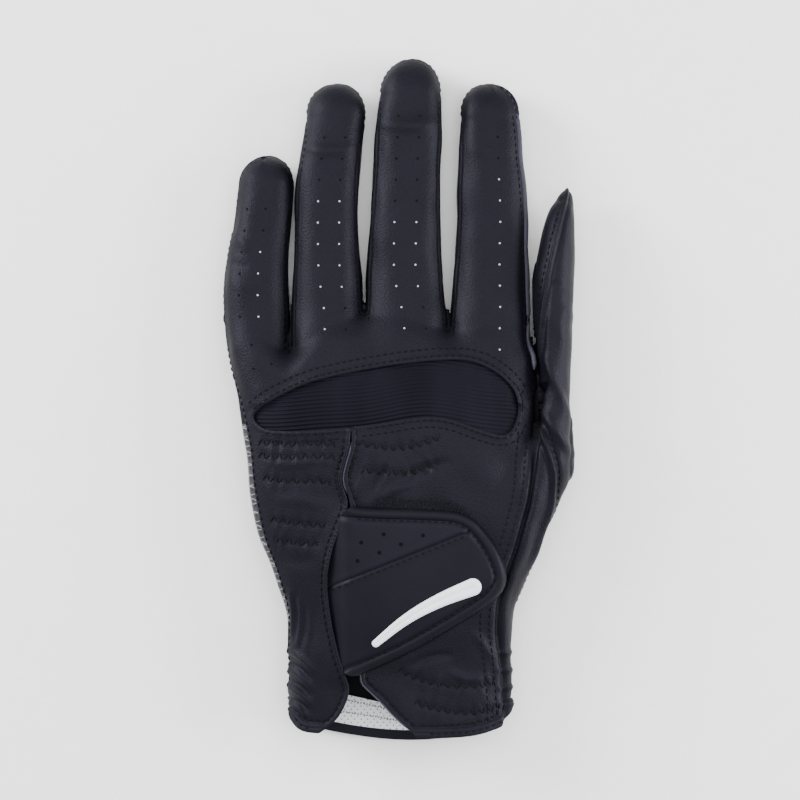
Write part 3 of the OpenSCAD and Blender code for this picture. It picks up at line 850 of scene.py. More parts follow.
def leather(name, colour, roughness=0.48, grain=0.6, bump=0.3):
    """Pebbled leather: small rounded cells, a finer grain over them, painted shade in the grooves between the
    cells, and slow changes of colour and gloss.
    """
    m, tree, bsdf = new_material(name)
    where = node(tree, "TexCoord").outputs["Object"]
    cells = node(tree, "TexVoronoi", feature="SMOOTH_F1", Vector=where, Scale=1000 / grain, Smoothness=0.5,
                 Randomness=0.9).outputs["Distance"]
    fine = node(tree, "TexNoise", Vector=where, Scale=2600.0, Detail=3.0, Roughness=0.6)
    slow = node(tree, "TexNoise", Vector=where, Scale=60.0, Detail=4.0, Roughness=0.55).outputs["Fac"]
    height = combined(tree, "MULTIPLY_ADD", fine.outputs["Fac"], 0.45, cells)
    shade = ramp(tree, slow, (0.3, [c * 0.78 for c in colour]), (0.72, [c * 1.25 for c in colour]))
    # painted shade: the colour darkens towards the cells' edges, in the grooves that the bump sinks
    groove_painted_shade = ramp(tree, cells, (0.25, (1, 1, 1)), (0.75, (0.72, 0.72, 0.72)))
    gloss = node(tree, "MapRange", Value=slow, To_Min=roughness - 0.07, To_Max=roughness + 0.1)
    surface(tree, bsdf, height, bump, 0.00035, True, Base_Color=mixed(tree, 1.0, shade, groove_painted_shade, "MULTIPLY"),
            Roughness=gloss.outputs["Result"], Specular_IOR_Level=SHINE, Specular_Tint=COOL)
    return m


BLACK = (0.0034, 0.0031, 0.0056)
SHINE = 0.12                  # share of the usual specular reflection: the leather is matt
COOL = (0.82, 0.78, 1, 1)     # tint of the reflections
MATERIALS = {}


# ------------------------------------------------------------------------------------------------
# Open edges of the leather: the slit and the cuff, each bound with a narrow band
# ------------------------------------------------------------------------------------------------

SLIT_BAND, CUFF_BAND = 1.4, 3.2        # widths of the bindings
CUFF_BACK_AREA = [*CUFF_BACK, (60, 200), (-60, 200)]
CUFF_PALM_AREA = [*CUFF_PALM, (60, 200), (-60, 200)]


BAND_LINES = {True: [(-60, -104), (-38, -104.6), *CUFF_BACK[3:-3], (38, -104.6), (60, -104)],
              False: [(-60, -101), (-38, -101.6), *CUFF_PALM[2:-2], (38, -101.6), (60, -101)]}


def cuff_distance(p, on_back):
    return -plan_distance(rounded(CUFF_BACK_AREA if on_back else CUFF_PALM_AREA, 1), p[:, :2])


def edge_share(p, on_back):
    """How far across the binding a point lies: 0 at the open edge, 1 where the binding ends."""
    area = [*BAND_LINES[on_back], (60, 200), (-60, 200)]
    share = -plan_distance(rounded(area, 1), p[:, :2]) / CUFF_BAND
    if on_back:
        slit = np.where((p[:, 2] > BACK_FROM) & (p[:, 1] < -6), slit_distance(p), 99)
        share = np.minimum(share, slit / SLIT_BAND)
    return share


def binding_rise(p):
    out = np.zeros(len(p))
    back = hand_side(p) > 0
    for on_back in (True, False):
        m = (back == on_back) & (p[:, 1] < -6)
        u = edge_share(p[m], on_back)
        rise = 0.62 * np.sqrt(np.clip(1 - (2 * u - 1) ** 2, 0, 1)) - 0.3 * dip((u - 0.55) * CUFF_BAND, 0.35)
        out[m] = np.where(u < 0, 0, np.where(u < 1, rise, -0.25 * dip(u - 1, 0.25)))
    return out


# ------------------------------------------------------------------------------------------------
# Building pieces
# ------------------------------------------------------------------------------------------------

def with_walls(p, t, normals, depth, bulge=0.0, down=None):
    """Adds a rounded wall below every open edge of a mesh: the thickness of the leather as it shows there."""
    down = normals if down is None else np.tile(np.asarray(down, float), (len(p), 1))
    e = edges_of(t)
    e = e[~np.isin(e[:, 0] * len(p) + e[:, 1], e[:, 1] * len(p) + e[:, 0])]
    out = np.zeros_like(p)
    side = np.cross(p[e[:, 1]] - p[e[:, 0]], down[e[:, 0]])
    for k in range(2):
        np.add.at(out, e[:, k], side)
    rim, inverse = np.unique(e, return_inverse=True)
    inverse = inverse.reshape(-1, 2)
    out, edge, below = unit(out[rim]), p[rim], down[rim]
    fall = below * np.broadcast_to(depth, len(p))[rim][:, None]
    points, tris = [p, edge, edge - fall * 0.5 + out * bulge, edge - fall], [t]
    all_normals = [normals, unit(below * 0.7 + out * 0.7), unit(out), unit(out * 0.9 - below * 0.4)]
    for k in (0, 1):
        a = len(p) + k * len(rim) + inverse
        b = a + len(rim)
        tris += [np.stack([a[:, 0], b[:, 0], b[:, 1]], 1), np.stack([a[:, 0], b[:, 1], a[:, 1]], 1)]
    return np.vstack(points), np.vstack(tris), np.vstack(all_normals)


def attach(obj, body, nodes=()):
    """Puts a piece on the hand, or for any other body bakes its transform into its mesh; hides the CAD nodes
    that it stands for.
    """
    if body == "hand":
        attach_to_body(obj, "hand")
    else:
        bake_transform(obj)
    if nodes:
        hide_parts(*nodes)
    return obj


def panel(name, mesh, material, body, nodes=(), wall=1.1):
    """A leather panel cut from the shell, whose points have three places: smooth, displaced and normal."""
    p, t = mesh
    points, tris, normals = with_walls(p[:, 3:6], t, p[:, 6:9], wall, 0.12)
    obj = make_object(name, points, tris, MATERIALS[material], normals)
    return attach(obj, body, nodes)


def keep(mesh, *levels):
    """The part of a panel mesh where every one of the signed functions of the smooth place is positive."""
    p, t = mesh
    for level in levels:
        p, t = clipped(p, t, level(p[:, :3]))
    return p, t


def minus(level):
    return lambda p: -level(p)


def fine_edges(p):
    """The longest edge allowed at each place: short beside seams and open edges."""
    x, y, z = p.T
    xy = p[:, :2]
    back = z > 11
    out = np.full(len(p), 9.0)

    for k, name in enumerate(FINGERS):
        m = (finger_of(p) == k) & (y > 8) & (x < 45)
        upper, lower = finger_seams(name, p[m])
        out[m] = np.where(np.minimum(np.abs(upper), np.abs(lower)) < 1.5, 0.62, 9.0)
    near = back & (np.abs(y - 1) < 16)
    out[near] = np.where(np.abs(plan_distance(INSERT_LINE, xy[near])) < 1.3, 0.55, out[near])
    near = back & (np.abs(x + 10) < 22) & (y < -6)
    d = plan_distance(SLIT_LINE, xy[near])
    out[near] = np.where((d > -0.8) & (d < 2), 0.55, out[near])
    near = y < -92
    d = plan_distance(CUFF_BACK_AREA, xy[near])
    out[near] = np.where((d > -4.2) & (d < 1), 0.7, out[near])
    near = back & (x > 26) & (y < 14)
    d = np.abs(line_at(SEAM_RIGHT, y[near]) - x[near])
    e = np.abs(line_coords(QUIRK, xy[near])[0])
    out[near] = np.where((d < 1.8) | (e < 2), 0.55, out[near])
    near = back & (x > 44.8) & (y > 4)
    out[near] = np.where(np.abs(line_coords(THUMB_SEAM, xy[near])[0]) < 1.8, 0.55, out[near])
    return out


def leather_shell():
    p, t = shell_mesh(GRID)
    p = relaxed(p, t, 2)
    p, t = refined(p, t, fine_edges, passes=2)
    p, n = to_surface(p, passes=1)
    moved = p + n * (relief(p, n) + binding_rise(p))[:, None]
    moved[:, 2] = np.maximum(moved[:, 2], 0.15)          # it lies on the table
    return np.hstack([p, moved, vertex_normals(moved, t)]), t


def plane(k, at, sign=1):
    return lambda p: sign * (p[:, k] - at)


def back_side(p):
    """Positive on the back panels, negative on the palm's side, all over the hand."""
    w = smooth((p[:, 1] - 8) / 10)
    return (1 - w) * hand_side(p) + w * np.clip(root_side(p, 0), -6, 6)


def build_fingers(skin):
    """The panels of every finger; what is left of the skin is the hand."""
    hand = skin
    for name in FINGERS:
        body = f"{name}_finger"
        side = f"{name}_fourchettes" if name in ("ring", "middle") else f"{name}_fourchette"
        finger = keep(skin, plane(1, BEND[name][0]), lambda p: lane(name, p))
        upper = lambda p: finger_seams(name, p)[0]
        lower = lambda p: finger_seams(name, p)[1]
        panel(f"{body}_back_leather", keep(finger, upper), "back", body, [f"{body}_back"])
        panel(f"{body}_front_leather", keep(finger, lower), "palm", body, [f"{body}_front"])
        gusset = keep(finger, minus(upper), minus(lower))
        panel(f"{side}_leather", gusset, "side", body, [side])
        hand = keep(hand, root_of(name))
    return hand


def build_thumb(skin):
    thumb = keep(skin, thumb_part)
    for label, sign, material in (("upper", 1, "back"), ("lower", -1, "palm")):
        half = keep(thumb, plane(2, THUMB_MIDDLE, sign))
        panel(f"thumb_{label}_leather", half, material, "thumb", [f"thumb_{label}_panel"])


def build_back(back):
    """The knuckle panel, and below the insert the two panels that the slit parts."""
    around = keep(back, insert_distance)
    panel("knuckle_back_leather", keep(around, above_insert), "back", "hand",
          ["knuckle_back_panel"])
    lower = keep(around, minus(above_insert), slit_distance, lambda p: cuff_distance(p, True))
    axis = lambda p: line_at(SLIT_AXIS, p[:, 1]) - p[:, 0]
    band = lambda p: edge_share(p, True) - 1
    for side, level in (("left", axis), ("right", minus(axis))):
        half = keep(lower, level)
        panel(f"back_leather_{side}", keep(half, band), "back", "hand",
              [f"back_panel_{side}"])
        panel(f"slit_binding_band_{side}", keep(half, minus(band)), "binding", "hand",
              [f"slit_binding_{side}"], wall=1.6)


def build_palm(palm):
    """The palm, with the patterned patch at its heel, the strip beside the thumb and the bound hem."""
    palm = keep(palm, lambda p: cuff_distance(p, False))
    band = lambda p: np.where(p[:, 1] < -6, edge_share(p, False), 9) - 1
    panel("palm_hem_band", keep(palm, minus(band)), "binding", "hand", ["palm_hem_binding"],
          wall=1.6)
    palm = keep(palm, band)
    heel = lambda p: -plan_distance(HEEL, p[:, :2])
    gusset = lambda p: np.minimum(-line_coords(QUIRK, p[:, :2])[0], np.minimum(p[:, 2] - 9, 4 - p[:, 1]))
    strip = lambda p: np.minimum(p[:, 0] - 20, gusset(p))
    panel("heel_patch_leather", keep(palm, heel), "patterned", "hand", ["heel_patch"])
    panel("thumb_gusset_leather", keep(palm, strip), "back", "hand", ["thumb_gusset"])
    rest = keep(palm, minus(heel), minus(strip))
    panel("palm_leather", rest, "palm", "hand", ["palm_panel"])


def build_panels():
    skin = leather_shell()
    hand = build_fingers(skin)
    build_thumb(skin)
    hand = keep(hand, minus(thumb_part))
    build_back(keep(hand, back_side))
    build_palm(keep(hand, minus(back_side)))


# Outlines of the patterned patch on the palm's heel and of the area that the elastic tapes cover
HEEL = rounded([(-70, -7), (-42, -8), (-35, -22), (-33, -48), (-33.5, -70), (-40, -76), (-70, -76)], 2)
TAPED = [(-46, -10), (16, -9), (16, -26), (-20, -30), (-22, -44), (-44, -44)]


# ------------------------------------------------------------------------------------------------
# Inside: the leather's suede side, and the white lining of the cuff
# ------------------------------------------------------------------------------------------------

# How far inside the skin each inner piece lies
SUEDE_DEPTH, TAPE_DEPTH, LINING_DEPTH, HEM_DEPTH = 1.5, 1.2, 2.05, 2.15
COARSE, FINE = 1.7, 0.9        # spacings of the grids that they are meshed on


def inner_piece(name, spacing, depth, cuts, material, slot, *nodes):
    """A skin inside the shell, depth mm below it, facing inwards and cut by signed functions."""
    p, t = shell_mesh(spacing)
    p, n = to_surface(p, -depth, 6)
    p, t = keep((np.hstack([p, -n]), t), *cuts)
    obj = make_object(name, p[:, :3], t[:, ::-1], MATERIALS[material], p[:, 3:6])
    return attach(obj, "hand", nodes)


def build_inside():
    hand_only = [*(root_of(name) for name in FINGERS), minus(thumb_part)]
    not_slit = lambda p: np.where(p[:, 2] > BACK_FROM, slit_distance(p) - 0.6, 9)
    low = lambda p: edge_share(p, False) * CUFF_BAND
    cuffs = lambda p: np.minimum(cuff_distance(p, True), cuff_distance(p, False)) - 0.4
    inner_piece("inner_suede", COARSE, SUEDE_DEPTH, [*hand_only, not_slit, cuffs], "suede", "palm_leather")
    top_edge = lambda p: np.maximum(-100.9 - 0.235 * (p[:, 0] + 10), -103.4) - p[:, 1]
    cuts = [top_edge, lambda p: low(p) - CUFF_BAND, plane(2, 8, -1)]
    obj = inner_piece("wrist_lining_sheet", FINE, LINING_DEPTH, cuts, "lining", "white_lining",
                      "wrist_lining")
    cuts = [lambda p: CUFF_BAND + 0.1 - low(p), lambda p: cuff_distance(p, False) - 0.1, plane(2, 10, -1)]
    inner_piece("palm_hem_inner_band", FINE, HEM_DEPTH, cuts, "binding", "edge_binding")
    taped = rounded(TAPED, 1)
    cuts = [*hand_only, plane(2, BACK_FROM), not_slit, lambda p: -plan_distance(taped, p[:, :2])]
    inner_piece("back_elastic_tapes", COARSE, TAPE_DEPTH, cuts, "elastic", "elastic_tape", "back_elastics")
    cuts = [*hand_only[:-1], plane(2, BACK_FROM), not_slit, plane(1, -78, -1),
            lambda p: cuff_distance(p, True) - 4]
    inner_piece("wrist_elastic_tapes", COARSE, TAPE_DEPTH, cuts, "elastic", "elastic_tape", "wrist_elastics")


# ------------------------------------------------------------------------------------------------
# Stitches, perforations and threads
# ------------------------------------------------------------------------------------------------

def placed(p, lift=0.0):
    """Points of the smooth shell moved onto the leather's relief, and the normals of the smooth shell."""
    p, n = to_surface(p, passes=3)
    return p + n * (relief(p, n) + binding_rise(p) + lift)[:, None], n


def on_back(xy, lift=0.0):
    xy = np.asarray(xy, float)
    return placed(np.column_stack([xy, back_height(xy)]), lift)


def copies(points, tris):
    """A mesh of n groups of points, given as (n, m, 3), with the same triangles in every group."""
    start = np.arange(len(points)) * points.shape[1]
    return points.reshape(-1, 3), (start[:, None, None] + np.array(tris)).reshape(-1, 3)


def beads(centre, direction, up, length, radius, arch=0.16, sides=5):
    """One arched stitch at every centre: (points, triangles)."""
    direction = unit(direction - (direction * up).sum(1, keepdims=True) * up)
    across = np.cross(up, direction)
    length = np.broadcast_to(length, len(centre))
    points = []
    for s, r in ((-1, 0.45), (-0.72, 0.85), (0, 1), (0.72, 0.85), (1, 0.45)):
        for k in range(sides):
            a = 2 * math.pi * k / sides
            h = arch * (1 - s * s) - radius * 0.5 * s * s + r * radius * math.sin(a)
            outward = up * h + across * (r * radius * math.cos(a))
            points.append(centre + direction * (s * length / 2)[:, None] + outward)
    tris = []
    for j in range(4):
        for k in range(sides):
            a, b = j * sides + k, j * sides + (k + 1) % sides
            tris += [(a, b, b + sides), (a, b + sides, a + sides)]
    return copies(np.stack(points, 1), tris)


def merged(parts):
    points, tris, start = [], [], 0
    for p, t in parts:
        points.append(p)
        tris.append(t + start)
        start += len(p)
    return np.vstack(points), np.vstack(tris)


def stitch_rows(rows, place=on_back, pitch=2.3, length=1.75, radius=0.25, arch=0.16):
    """Rows of stitches along lines of the plan (or along lines in space, with place=placed)."""
    parts = []
    for row in rows:
        at, along_it = along(row, pitch)
        if not len(at):
            continue
        p, n = place(at)
        ahead, _ = place(at + along_it * 0.5)
        parts.append(beads(p, ahead - p, n, length, radius, arch))
    return merged(parts)


def thread_object(name, mesh, body):
    return attach(make_object(name, *mesh, MATERIALS["thread"]), body)


def finger_line(name, side, rise, low, high):
    """A line along a finger's upper seam, rise mm above it on the dorsal side; side is -1 or 1."""
    y = np.arange(low, high, 0.5)
    cx, a, cz, b = finger_frame(FINGERS[name], y)
    level = gusset_half(name, y)
    if name == "little" and side < 0:
        level = (column(LEFT_SEAM, y, 1) - cz) / b * 8
    if name == "index" and side > 0:
        level = np.full(len(y), OUTSEAM)
    level = np.clip(level + rise / b * 8, -7.6, 7.6)
    n = SQUARE["finger"]
    out = a * (1 - (np.abs(level) / 8) ** n) ** (1 / n)
    return np.column_stack([cx + side * out, y, cz + b * level / 8])


def left_line(rise, low, high):
    """A line beside the outer seam down the little-finger side of the hand."""
    y = np.arange(low, high, 0.7)
    z = column(LEFT_SEAM, y, 1) + rise
    far, close = np.full(len(y), -64.0), np.full(len(y), -25.0)
    for _ in range(14):
        mid = (far + close) / 2
        inside = shell(np.column_stack([mid, y, z])) < 0
        far, close = np.where(inside, far, mid), np.where(inside, mid, close)
    return np.column_stack([close, y, z])


def part_of(line, inside):
    """The runs of a line's points for which inside(points) holds."""
    line = np.asarray(line, float)
    ok = inside(line)
    runs = np.split(np.arange(len(line)), np.flatnonzero(np.diff(ok.astype(int))) + 1)
    return [line[r] for r in runs if ok[r[0]] and len(r) > 2]


def between(low, high):
    """Holds for points whose Y lies between low and high."""
    return lambda q: (q[:, 1] > low) & (q[:, 1] < high)


def on_left_flap(q):
    return (q[:, 0] < line_at(SLIT_AXIS, q[:, 1])) & (slit_distance(q) > 0.4) & between(-96, -12)(q)


def back_rows():
    """The rows of stitches on the back, as lines of the plan that keep clear of the tab, cuff and slit."""
    free = lambda q: (plan_distance(TAB_LINE, q) > 0.6) & (cuff_distance(q, True) > 3.4)
    clear = lambda q: free(q) & (slit_distance(q) > 2)
    rows = []

    def beside(line, offsets, holds):
        for d in offsets:
            rows.extend(part_of(offset_line(line, d), holds))

    beside(INSERT_LINE, (1.35, 3.9), lambda q: clear(q) & (q[:, 1] > np.interp(q[:, 0], [-50, 40], [-6, -4])))
    beside(INSERT_LINE, (1.2, 3.5), lambda q: clear(q) & (q[:, 1] < -6) & (q[:, 0] > -46))
    y = np.arange(7, -108, -0.7)
    for d in (3.1, 6.0):
        line = np.column_stack([line_at(SEAM_RIGHT, y) - d, y])
        rows.extend(part_of(line, lambda q: clear(q) & (insert_distance(q) > 2)))
    beside(QUIRK, (2.3,), between(-68, -8))
    off_slit = lambda q: free(q) & (slit_distance(q) > 1.9) & between(-108, -12)(q)
    beside(rounded(SLIT, 2), (2.3, -2.3), off_slit)
    cuff = rounded(CUFF_BACK[2:-2], 2, closed=False)
    beside(cuff, (1.5, 4.3), lambda q: (slit_distance(q) > 2) & (np.abs(q[:, 0]) < 35))
    return rows


def build_stitches():
    hand_lines = []
    for name in FINGERS:
        yb = BEND[name][0]
        tip = FINGERS[name]["tip"][0]
        rows = [finger_line(name, side, 1.15, yb + 0.5, tip - 1.5) for side in (-1, 1)]
        mesh = stitch_rows(rows, placed, 2.3, 1.6, 0.17, 0.08)
        thread_object(f"{name}_finger_stitches", mesh, f"{name}_finger")
        for side in (-1, 1):
            below = 12 if name == "little" and side < 0 else 7
            hand_lines.append(finger_line(name, side, 1.15, yb - below, yb))
    hand_lines.append(left_line(1.5, -96, 9))
    mesh = merged([stitch_rows(hand_lines, placed), stitch_rows(back_rows())])
    thread_object("hand_stitches", mesh, "hand")
    edge = part_of(offset_line(rounded(SLIT, 2), 0.75), on_left_flap)
    thread_object("flap_edge_stitches", stitch_rows(edge, on_back, 1.35, 0.8, 0.3), "hand")
    line = part_of(offset_line(THUMB_SEAM, 1.7), between(9, 66))
    thread_object("thumb_stitches", stitch_rows(line), "thumb")


def zigzag(line, half, pitch=2.9):
    at, direction = along(rounded(line, 2, closed=False), pitch / 2)
    across = np.column_stack([-direction[:, 1], direction[:, 0]])
    corners = at + across * (half * np.where(np.arange(len(at)) % 2, 1, -1))[:, None]
    return (corners[1:] + corners[:-1]) / 2, corners[1:] - corners[:-1]


def build_zigzags():
    parts = []
    for row, half in ELASTICS:
        middle, step = zigzag(row, half)
        ok = (plan_distance(TAB_LINE, middle) > 0.8) & (slit_distance(middle) > 2)
        p, n = on_back(middle[ok])
        d = np.column_stack([step[ok], np.zeros(ok.sum())])
        parts.append(beads(p, d, n, np.linalg.norm(d, axis=1) * 1.04, 0.27))
    thread_object("elastic_zigzag_stitches", merged(parts), "hand")


LINING_ROWS = ([(-20, -100.4), (-10, -102.6), (0, -104.9), (6, -105.3)],
               [(-22, -104.4), (-10, -106.2), (0, -108), (6, -108.6)])


def build_lining_stitches():
    """Two rows of small zigzag stitches that hold the white lining to the palm."""
    parts = []
    for row in LINING_ROWS:
        middle, step = zigzag(row, 0.5, 2.0)
        p, n = to_surface(np.column_stack([middle, np.full(len(middle), 3.0)]), -LINING_DEPTH, 6)
        d = np.column_stack([step, np.zeros(len(step))])
        parts.append(beads(p, d, -n, np.linalg.norm(d, axis=1) * 0.6, 0.17, 0.1))
    thread_object("wrist_lining_stitches", merged(parts), "hand")


def discs(centre, normal, radius, sides=10):
    other = np.where(np.abs(normal[:, :1]) < 0.8, [[1.0, 0, 0]], [[0, 1.0, 0]])
    u = unit(np.cross(normal, other))
    v = np.cross(normal, u)
    a = np.arange(sides) * 2 * math.pi / sides
    rim = centre[:, None] + radius * (u[:, None] * np.cos(a)[:, None] + v[:, None] * np.sin(a)[:, None])
    points = np.concatenate([centre[:, None], rim], 1)
    return copies(points, [(0, 1 + k, 1 + (k + 1) % sides) for k in range(sides)])


def hole_objects(label, body, p, n, pale):
    """Dark discs of painted shade for the holes, with a smaller pale disc of painted light on the holes that
    light shines through.
    """
    obj = make_object(f"{label}_perforations", *discs(p, n, HOLE_RADIUS), MATERIALS["hole"])
    attach(obj, body)
    if pale.any():
        # painted light: a pale disc over the dark one, where light would shine through the hole
        mesh = discs(p[pale] + n[pale] * 0.03, n[pale], LIGHT_RADIUS)
        obj = make_object(f"{label}_perforation_painted_light", *mesh, MATERIALS["hole_light"])
        attach(obj, body)


# Perforations: lowest and highest Y, how many, half the distance between the columns, how far these are
# shifted to the right, and how much further at the root
HOLES = {"little": (28, 64, 6, 3.1, -2.3, 0.0), "ring": (23.7, 87.9, 10, 3.5, 0.8, 1.9),
         "middle": (24, 95, 11, 3.6, 0.0, 2.8), "index": (17, 88, 11, 3.4, -0.8, 0.6)}
# Y from which the perforations show no light
DARK_FROM = {"little": 52, "ring": 70, "middle": 66, "index": 80}
HOLE_RADIUS, LIGHT_RADIUS, TAB_HOLE_RADIUS = 0.42, 0.33, 0.68
# Three more at the root of the little finger
ROOT_HOLES = [(-48.7, 10.7), (-42.6, 12.3), (-49.3, 18.6)]


def build_perforations():
    for name, (low, high, count, half, shift, lean) in HOLES.items():
        y = np.linspace(low, high, count)
        x = finger_frame(FINGERS[name], y)[0] + shift + lean * smooth((45 - y) / 20)
        # pale: the holes that get a pale disc of painted light, as if light shone through them
        pale = y < DARK_FROM[name]
        left, right = np.column_stack([x - half, y]), np.column_stack([x + half, y])
        if name == "index":
            xy = right
        elif name == "little":
            xy = np.vstack([left, right, ROOT_HOLES])
            pale = np.r_[pale & False, pale, np.full(len(ROOT_HOLES), False)]
        else:
            xy = np.vstack([left, right])
            pale = np.r_[pale, pale & (y > low + 12)]
        on_finger = xy[:, 1] > BEND[name][0]
        for label, chosen in (("root", ~on_finger), ("finger", on_finger)):
            if chosen.any():
                body = f"{name}_finger" if label == "finger" else "hand"
                hole_objects(f"{name}_{label}", body, *on_back(xy[chosen], 0.05), pale[chosen])


# ------------------------------------------------------------------------------------------------
# Knit insert over the knuckles
# ------------------------------------------------------------------------------------------------

RIB = 1.33        # width of one rib


def plan_grid(x0, x1, y0, y1, dx, dy):
    x, y = np.arange(x0, x1, dx), np.arange(y0, y1, dy)
    xy = np.stack(np.meshgrid(x, y, indexing="ij"), -1).reshape(-1, 2)
    i = (np.arange(len(x) - 1)[:, None] * len(y) + np.arange(len(y) - 1)[None]).ravel()
    quads = np.stack([i, i + len(y), i + len(y) + 1, i + 1], 1)
    return xy, np.vstack([quads[:, [0, 1, 2]], quads[:, [0, 2, 3]]])


def plan_piece(box, step, inside):
    """A grid over a box of the plan (left, right, low, high), cut to where inside(xy) is positive."""
    xy, t = plan_grid(*box, step, step)
    return clipped(xy, t, inside(xy))


def rib_phase(xy):
    bow = 4.6 * np.exp(-((xy[:, 0] - 9) / 24) ** 2) + 0.35 * np.sin(xy[:, 0] / 5.5)
    return (xy[:, 1] - bow) / RIB


def insert_height(xy):
    """The height of the back, without the creases at the finger roots: a polynomial surface fitted to it."""
    u, v = xy[:, 0] / 50, xy[:, 1] / 15
    terms = np.column_stack([u ** i * v ** j for i in range(8) for j in range(5)])
    return terms @ np.linalg.lstsq(terms, back_height(xy), rcond=None)[0]


def build_insert():
    xy, t = plan_grid(-52, 42, -14, 17, 0.9, 0.27)
    xy, t = clipped(xy, t, 0.9 - plan_distance(INSERT_LINE, xy))
    p = np.column_stack([xy, insert_height(xy)])
    x = xy[:, 0]
    strength = 0.17 + 0.09 * smooth((-x - 10) / 30) + 0.03 * np.sin(x / 3.1)
    h = -1.15 + strength * np.cos(2 * np.pi * rib_phase(xy)) + 0.28 * smooth(-insert_distance(xy) / 6)
    moved = p + vertex_normals(p, t) * h[:, None]
    obj = make_object("knuckle_knit", moved, t, MATERIALS["knit"], vertex_normals(moved, t))
    attach(obj, "hand", ["knuckle_stretch_insert"])


# ------------------------------------------------------------------------------------------------
# Closure tab, its pads and the raised bar on it
# ------------------------------------------------------------------------------------------------

RIM = 3.6                             # width of the tab's bound rim
TAB_BOX = (-27, 37, -94, -33)         # left, right, low, high
FACE_SEAM = np.array([(-40, -68.5), (-23.7, -61.6), (21.8, -43.3), (50, -32)], float)
HOOK = [(-7, -38), (16, -38), (20, -42), (29, -57), (29, -66), (6, -79), (-7, -83.5)]
LOOP = [(-10.6, -33), (0, -32.4), (10, -32.7), (17, -33.4), (22.6, -35.6), (24.6, -41), (29, -50),
    (31, -66), (6, -80), (-9, -84)]
BAR = rounded([(-8, -80, 1.2), (2, -71.6, 1.7), (13, -65.6, 2.2), (24, -61.4, 2.8)], 3, closed=False)
TAB_HOLES = [(-5.4, -43.9), (-12.8, -46.6), (7.6, -44.3), (0.3, -47.2), (-6.8, -49.9), (-14, -52.7)]


RIM_LINE = rounded([q for q in TAB if q[0] > -19] + [(-60, -115), (-60, -28)], 2)


def rim_distance(xy):
    """Distance from the tab's bound edge, negative inside; the edge under the flap has no binding."""
    return plan_distance(RIM_LINE, xy)


def tab_heights(xy):
    """Underside and top of the tab over points of the plan."""
    x = xy[:, 0]
    d = rim_distance(xy)
    base = back_height(xy) + 0.25 * np.sin(x / 9 + xy[:, 1] / 14)
    droop = 1.15 * np.exp(np.minimum(d, 0) / 3.2) * smooth((x + 18) / 8)
    under = base - 0.9 + 2.8 * smooth((x + 24) / 11) - droop
    top = base + 0.25 + 3.35 * smooth((x + 25) / 9) - droop
    u = np.clip((d + RIM) / RIM, 0, 1)
    rim = 0.42 * np.sqrt(np.clip(1 - (2 * u - 1) ** 2, 0, 1)) - 0.1
    top = top + np.where(d > -RIM, rim, 0) - 0.6 * dip(d + RIM + 0.3, 0.7)
    round_off = np.clip((d + 1.4) / 1.4, 0, 1)
    top -= 1.3 * (1 - np.sqrt(1 - round_off ** 2 + 1e-6)) * smooth((x + 22) / 8)
    seam = line_coords(FACE_SEAM, xy)[0]
    top -= np.where(d < -RIM, 0.4 * dip(seam, 0.4) - 0.05 * dip(np.abs(seam) - 1.3, 0.8), 0)
    return under, np.maximum(top, under + 0.3)


def on_tab(xy, lift=0.0):
    xy = np.asarray(xy, float)[:, :2]
    z = tab_heights(xy)[1]
    e = 0.3
    gx, gy = ((tab_heights(xy + d)[1] - tab_heights(xy - d)[1]) / (2 * e) for d in ([e, 0], [0, e]))
    n = unit(np.column_stack([-gx, -gy, np.ones(len(xy))]))
    return np.column_stack([xy, z]) + n * lift, n


def slab(name, xy, t, top, under, material, body, nodes=(), floor=True):
    """A piece over a part of the plan, between two heights: a top with walls, closed by a floor below when
    floor is set.
    """
    p = np.column_stack([xy, top])
    n = vertex_normals(p, t)
    points, tris, normals = with_walls(p, t, n, top - under, 0.08, down=(0, 0, 1))
    if floor:
        q = np.column_stack([xy, under])
        tris = np.vstack([tris, t[:, ::-1] + len(points)])
        points = np.vstack([points, q])
        normals = np.vstack([normals, -vertex_normals(q, t)])
    return attach(make_object(name, points, tris, MATERIALS[material], normals), body, nodes)


def build_tab():
    whole = plan_piece(TAB_BOX, 0.55, lambda xy: -plan_distance(TAB_LINE, xy))
    xy, t = clipped(*whole, rim_distance(whole[0]) + RIM)
    under, top = tab_heights(xy)
    slab("tab_rim", xy, t, top, under - 0.12, "tab_binding", "tab", ["tab_binding"])
    face = clipped(*whole, -RIM - rim_distance(whole[0]))
    for name, sign, material in (("tab_upper", 1, "tab_face"), ("tab_lower", -1, "tab_leather")):
        xy, t = clipped(*face, sign * line_coords(FACE_SEAM, face[0])[0])
        top = tab_heights(xy)[1]
        slab(f"{name}_face", xy, t, top, top - 0.6, material, "tab", [f"{name}_panel"], floor=False)
    xy, t = plan_piece(TAB_BOX, 1.3, lambda xy: -0.8 - plan_distance(TAB_LINE, xy))
    under, top = tab_heights(xy)
    top = np.maximum(under + 0.3, top - 0.9)
    slab("tab_base", xy, t, top, under, "suede", "tab", ["closure_tab"])
    hook = rounded(HOOK, 1)
    xy, t = plan_piece((-9, 31, -86, -36), 1.2, lambda xy: -plan_distance(hook, xy))
    under = tab_heights(xy)[0]
    slab("tab_hooks", xy, t, under + 0.05, under - 0.8, "hooks", "tab", ["tab_hook_pad"])
    build_tab_stitches()
    p, n = on_tab(TAB_HOLES, 0.04)
    # dark discs of painted shade inside the holes
    obj = make_object("tab_perforations", *discs(p, n, TAB_HOLE_RADIUS, 14), MATERIALS["hole"])
    attach(obj, "tab")


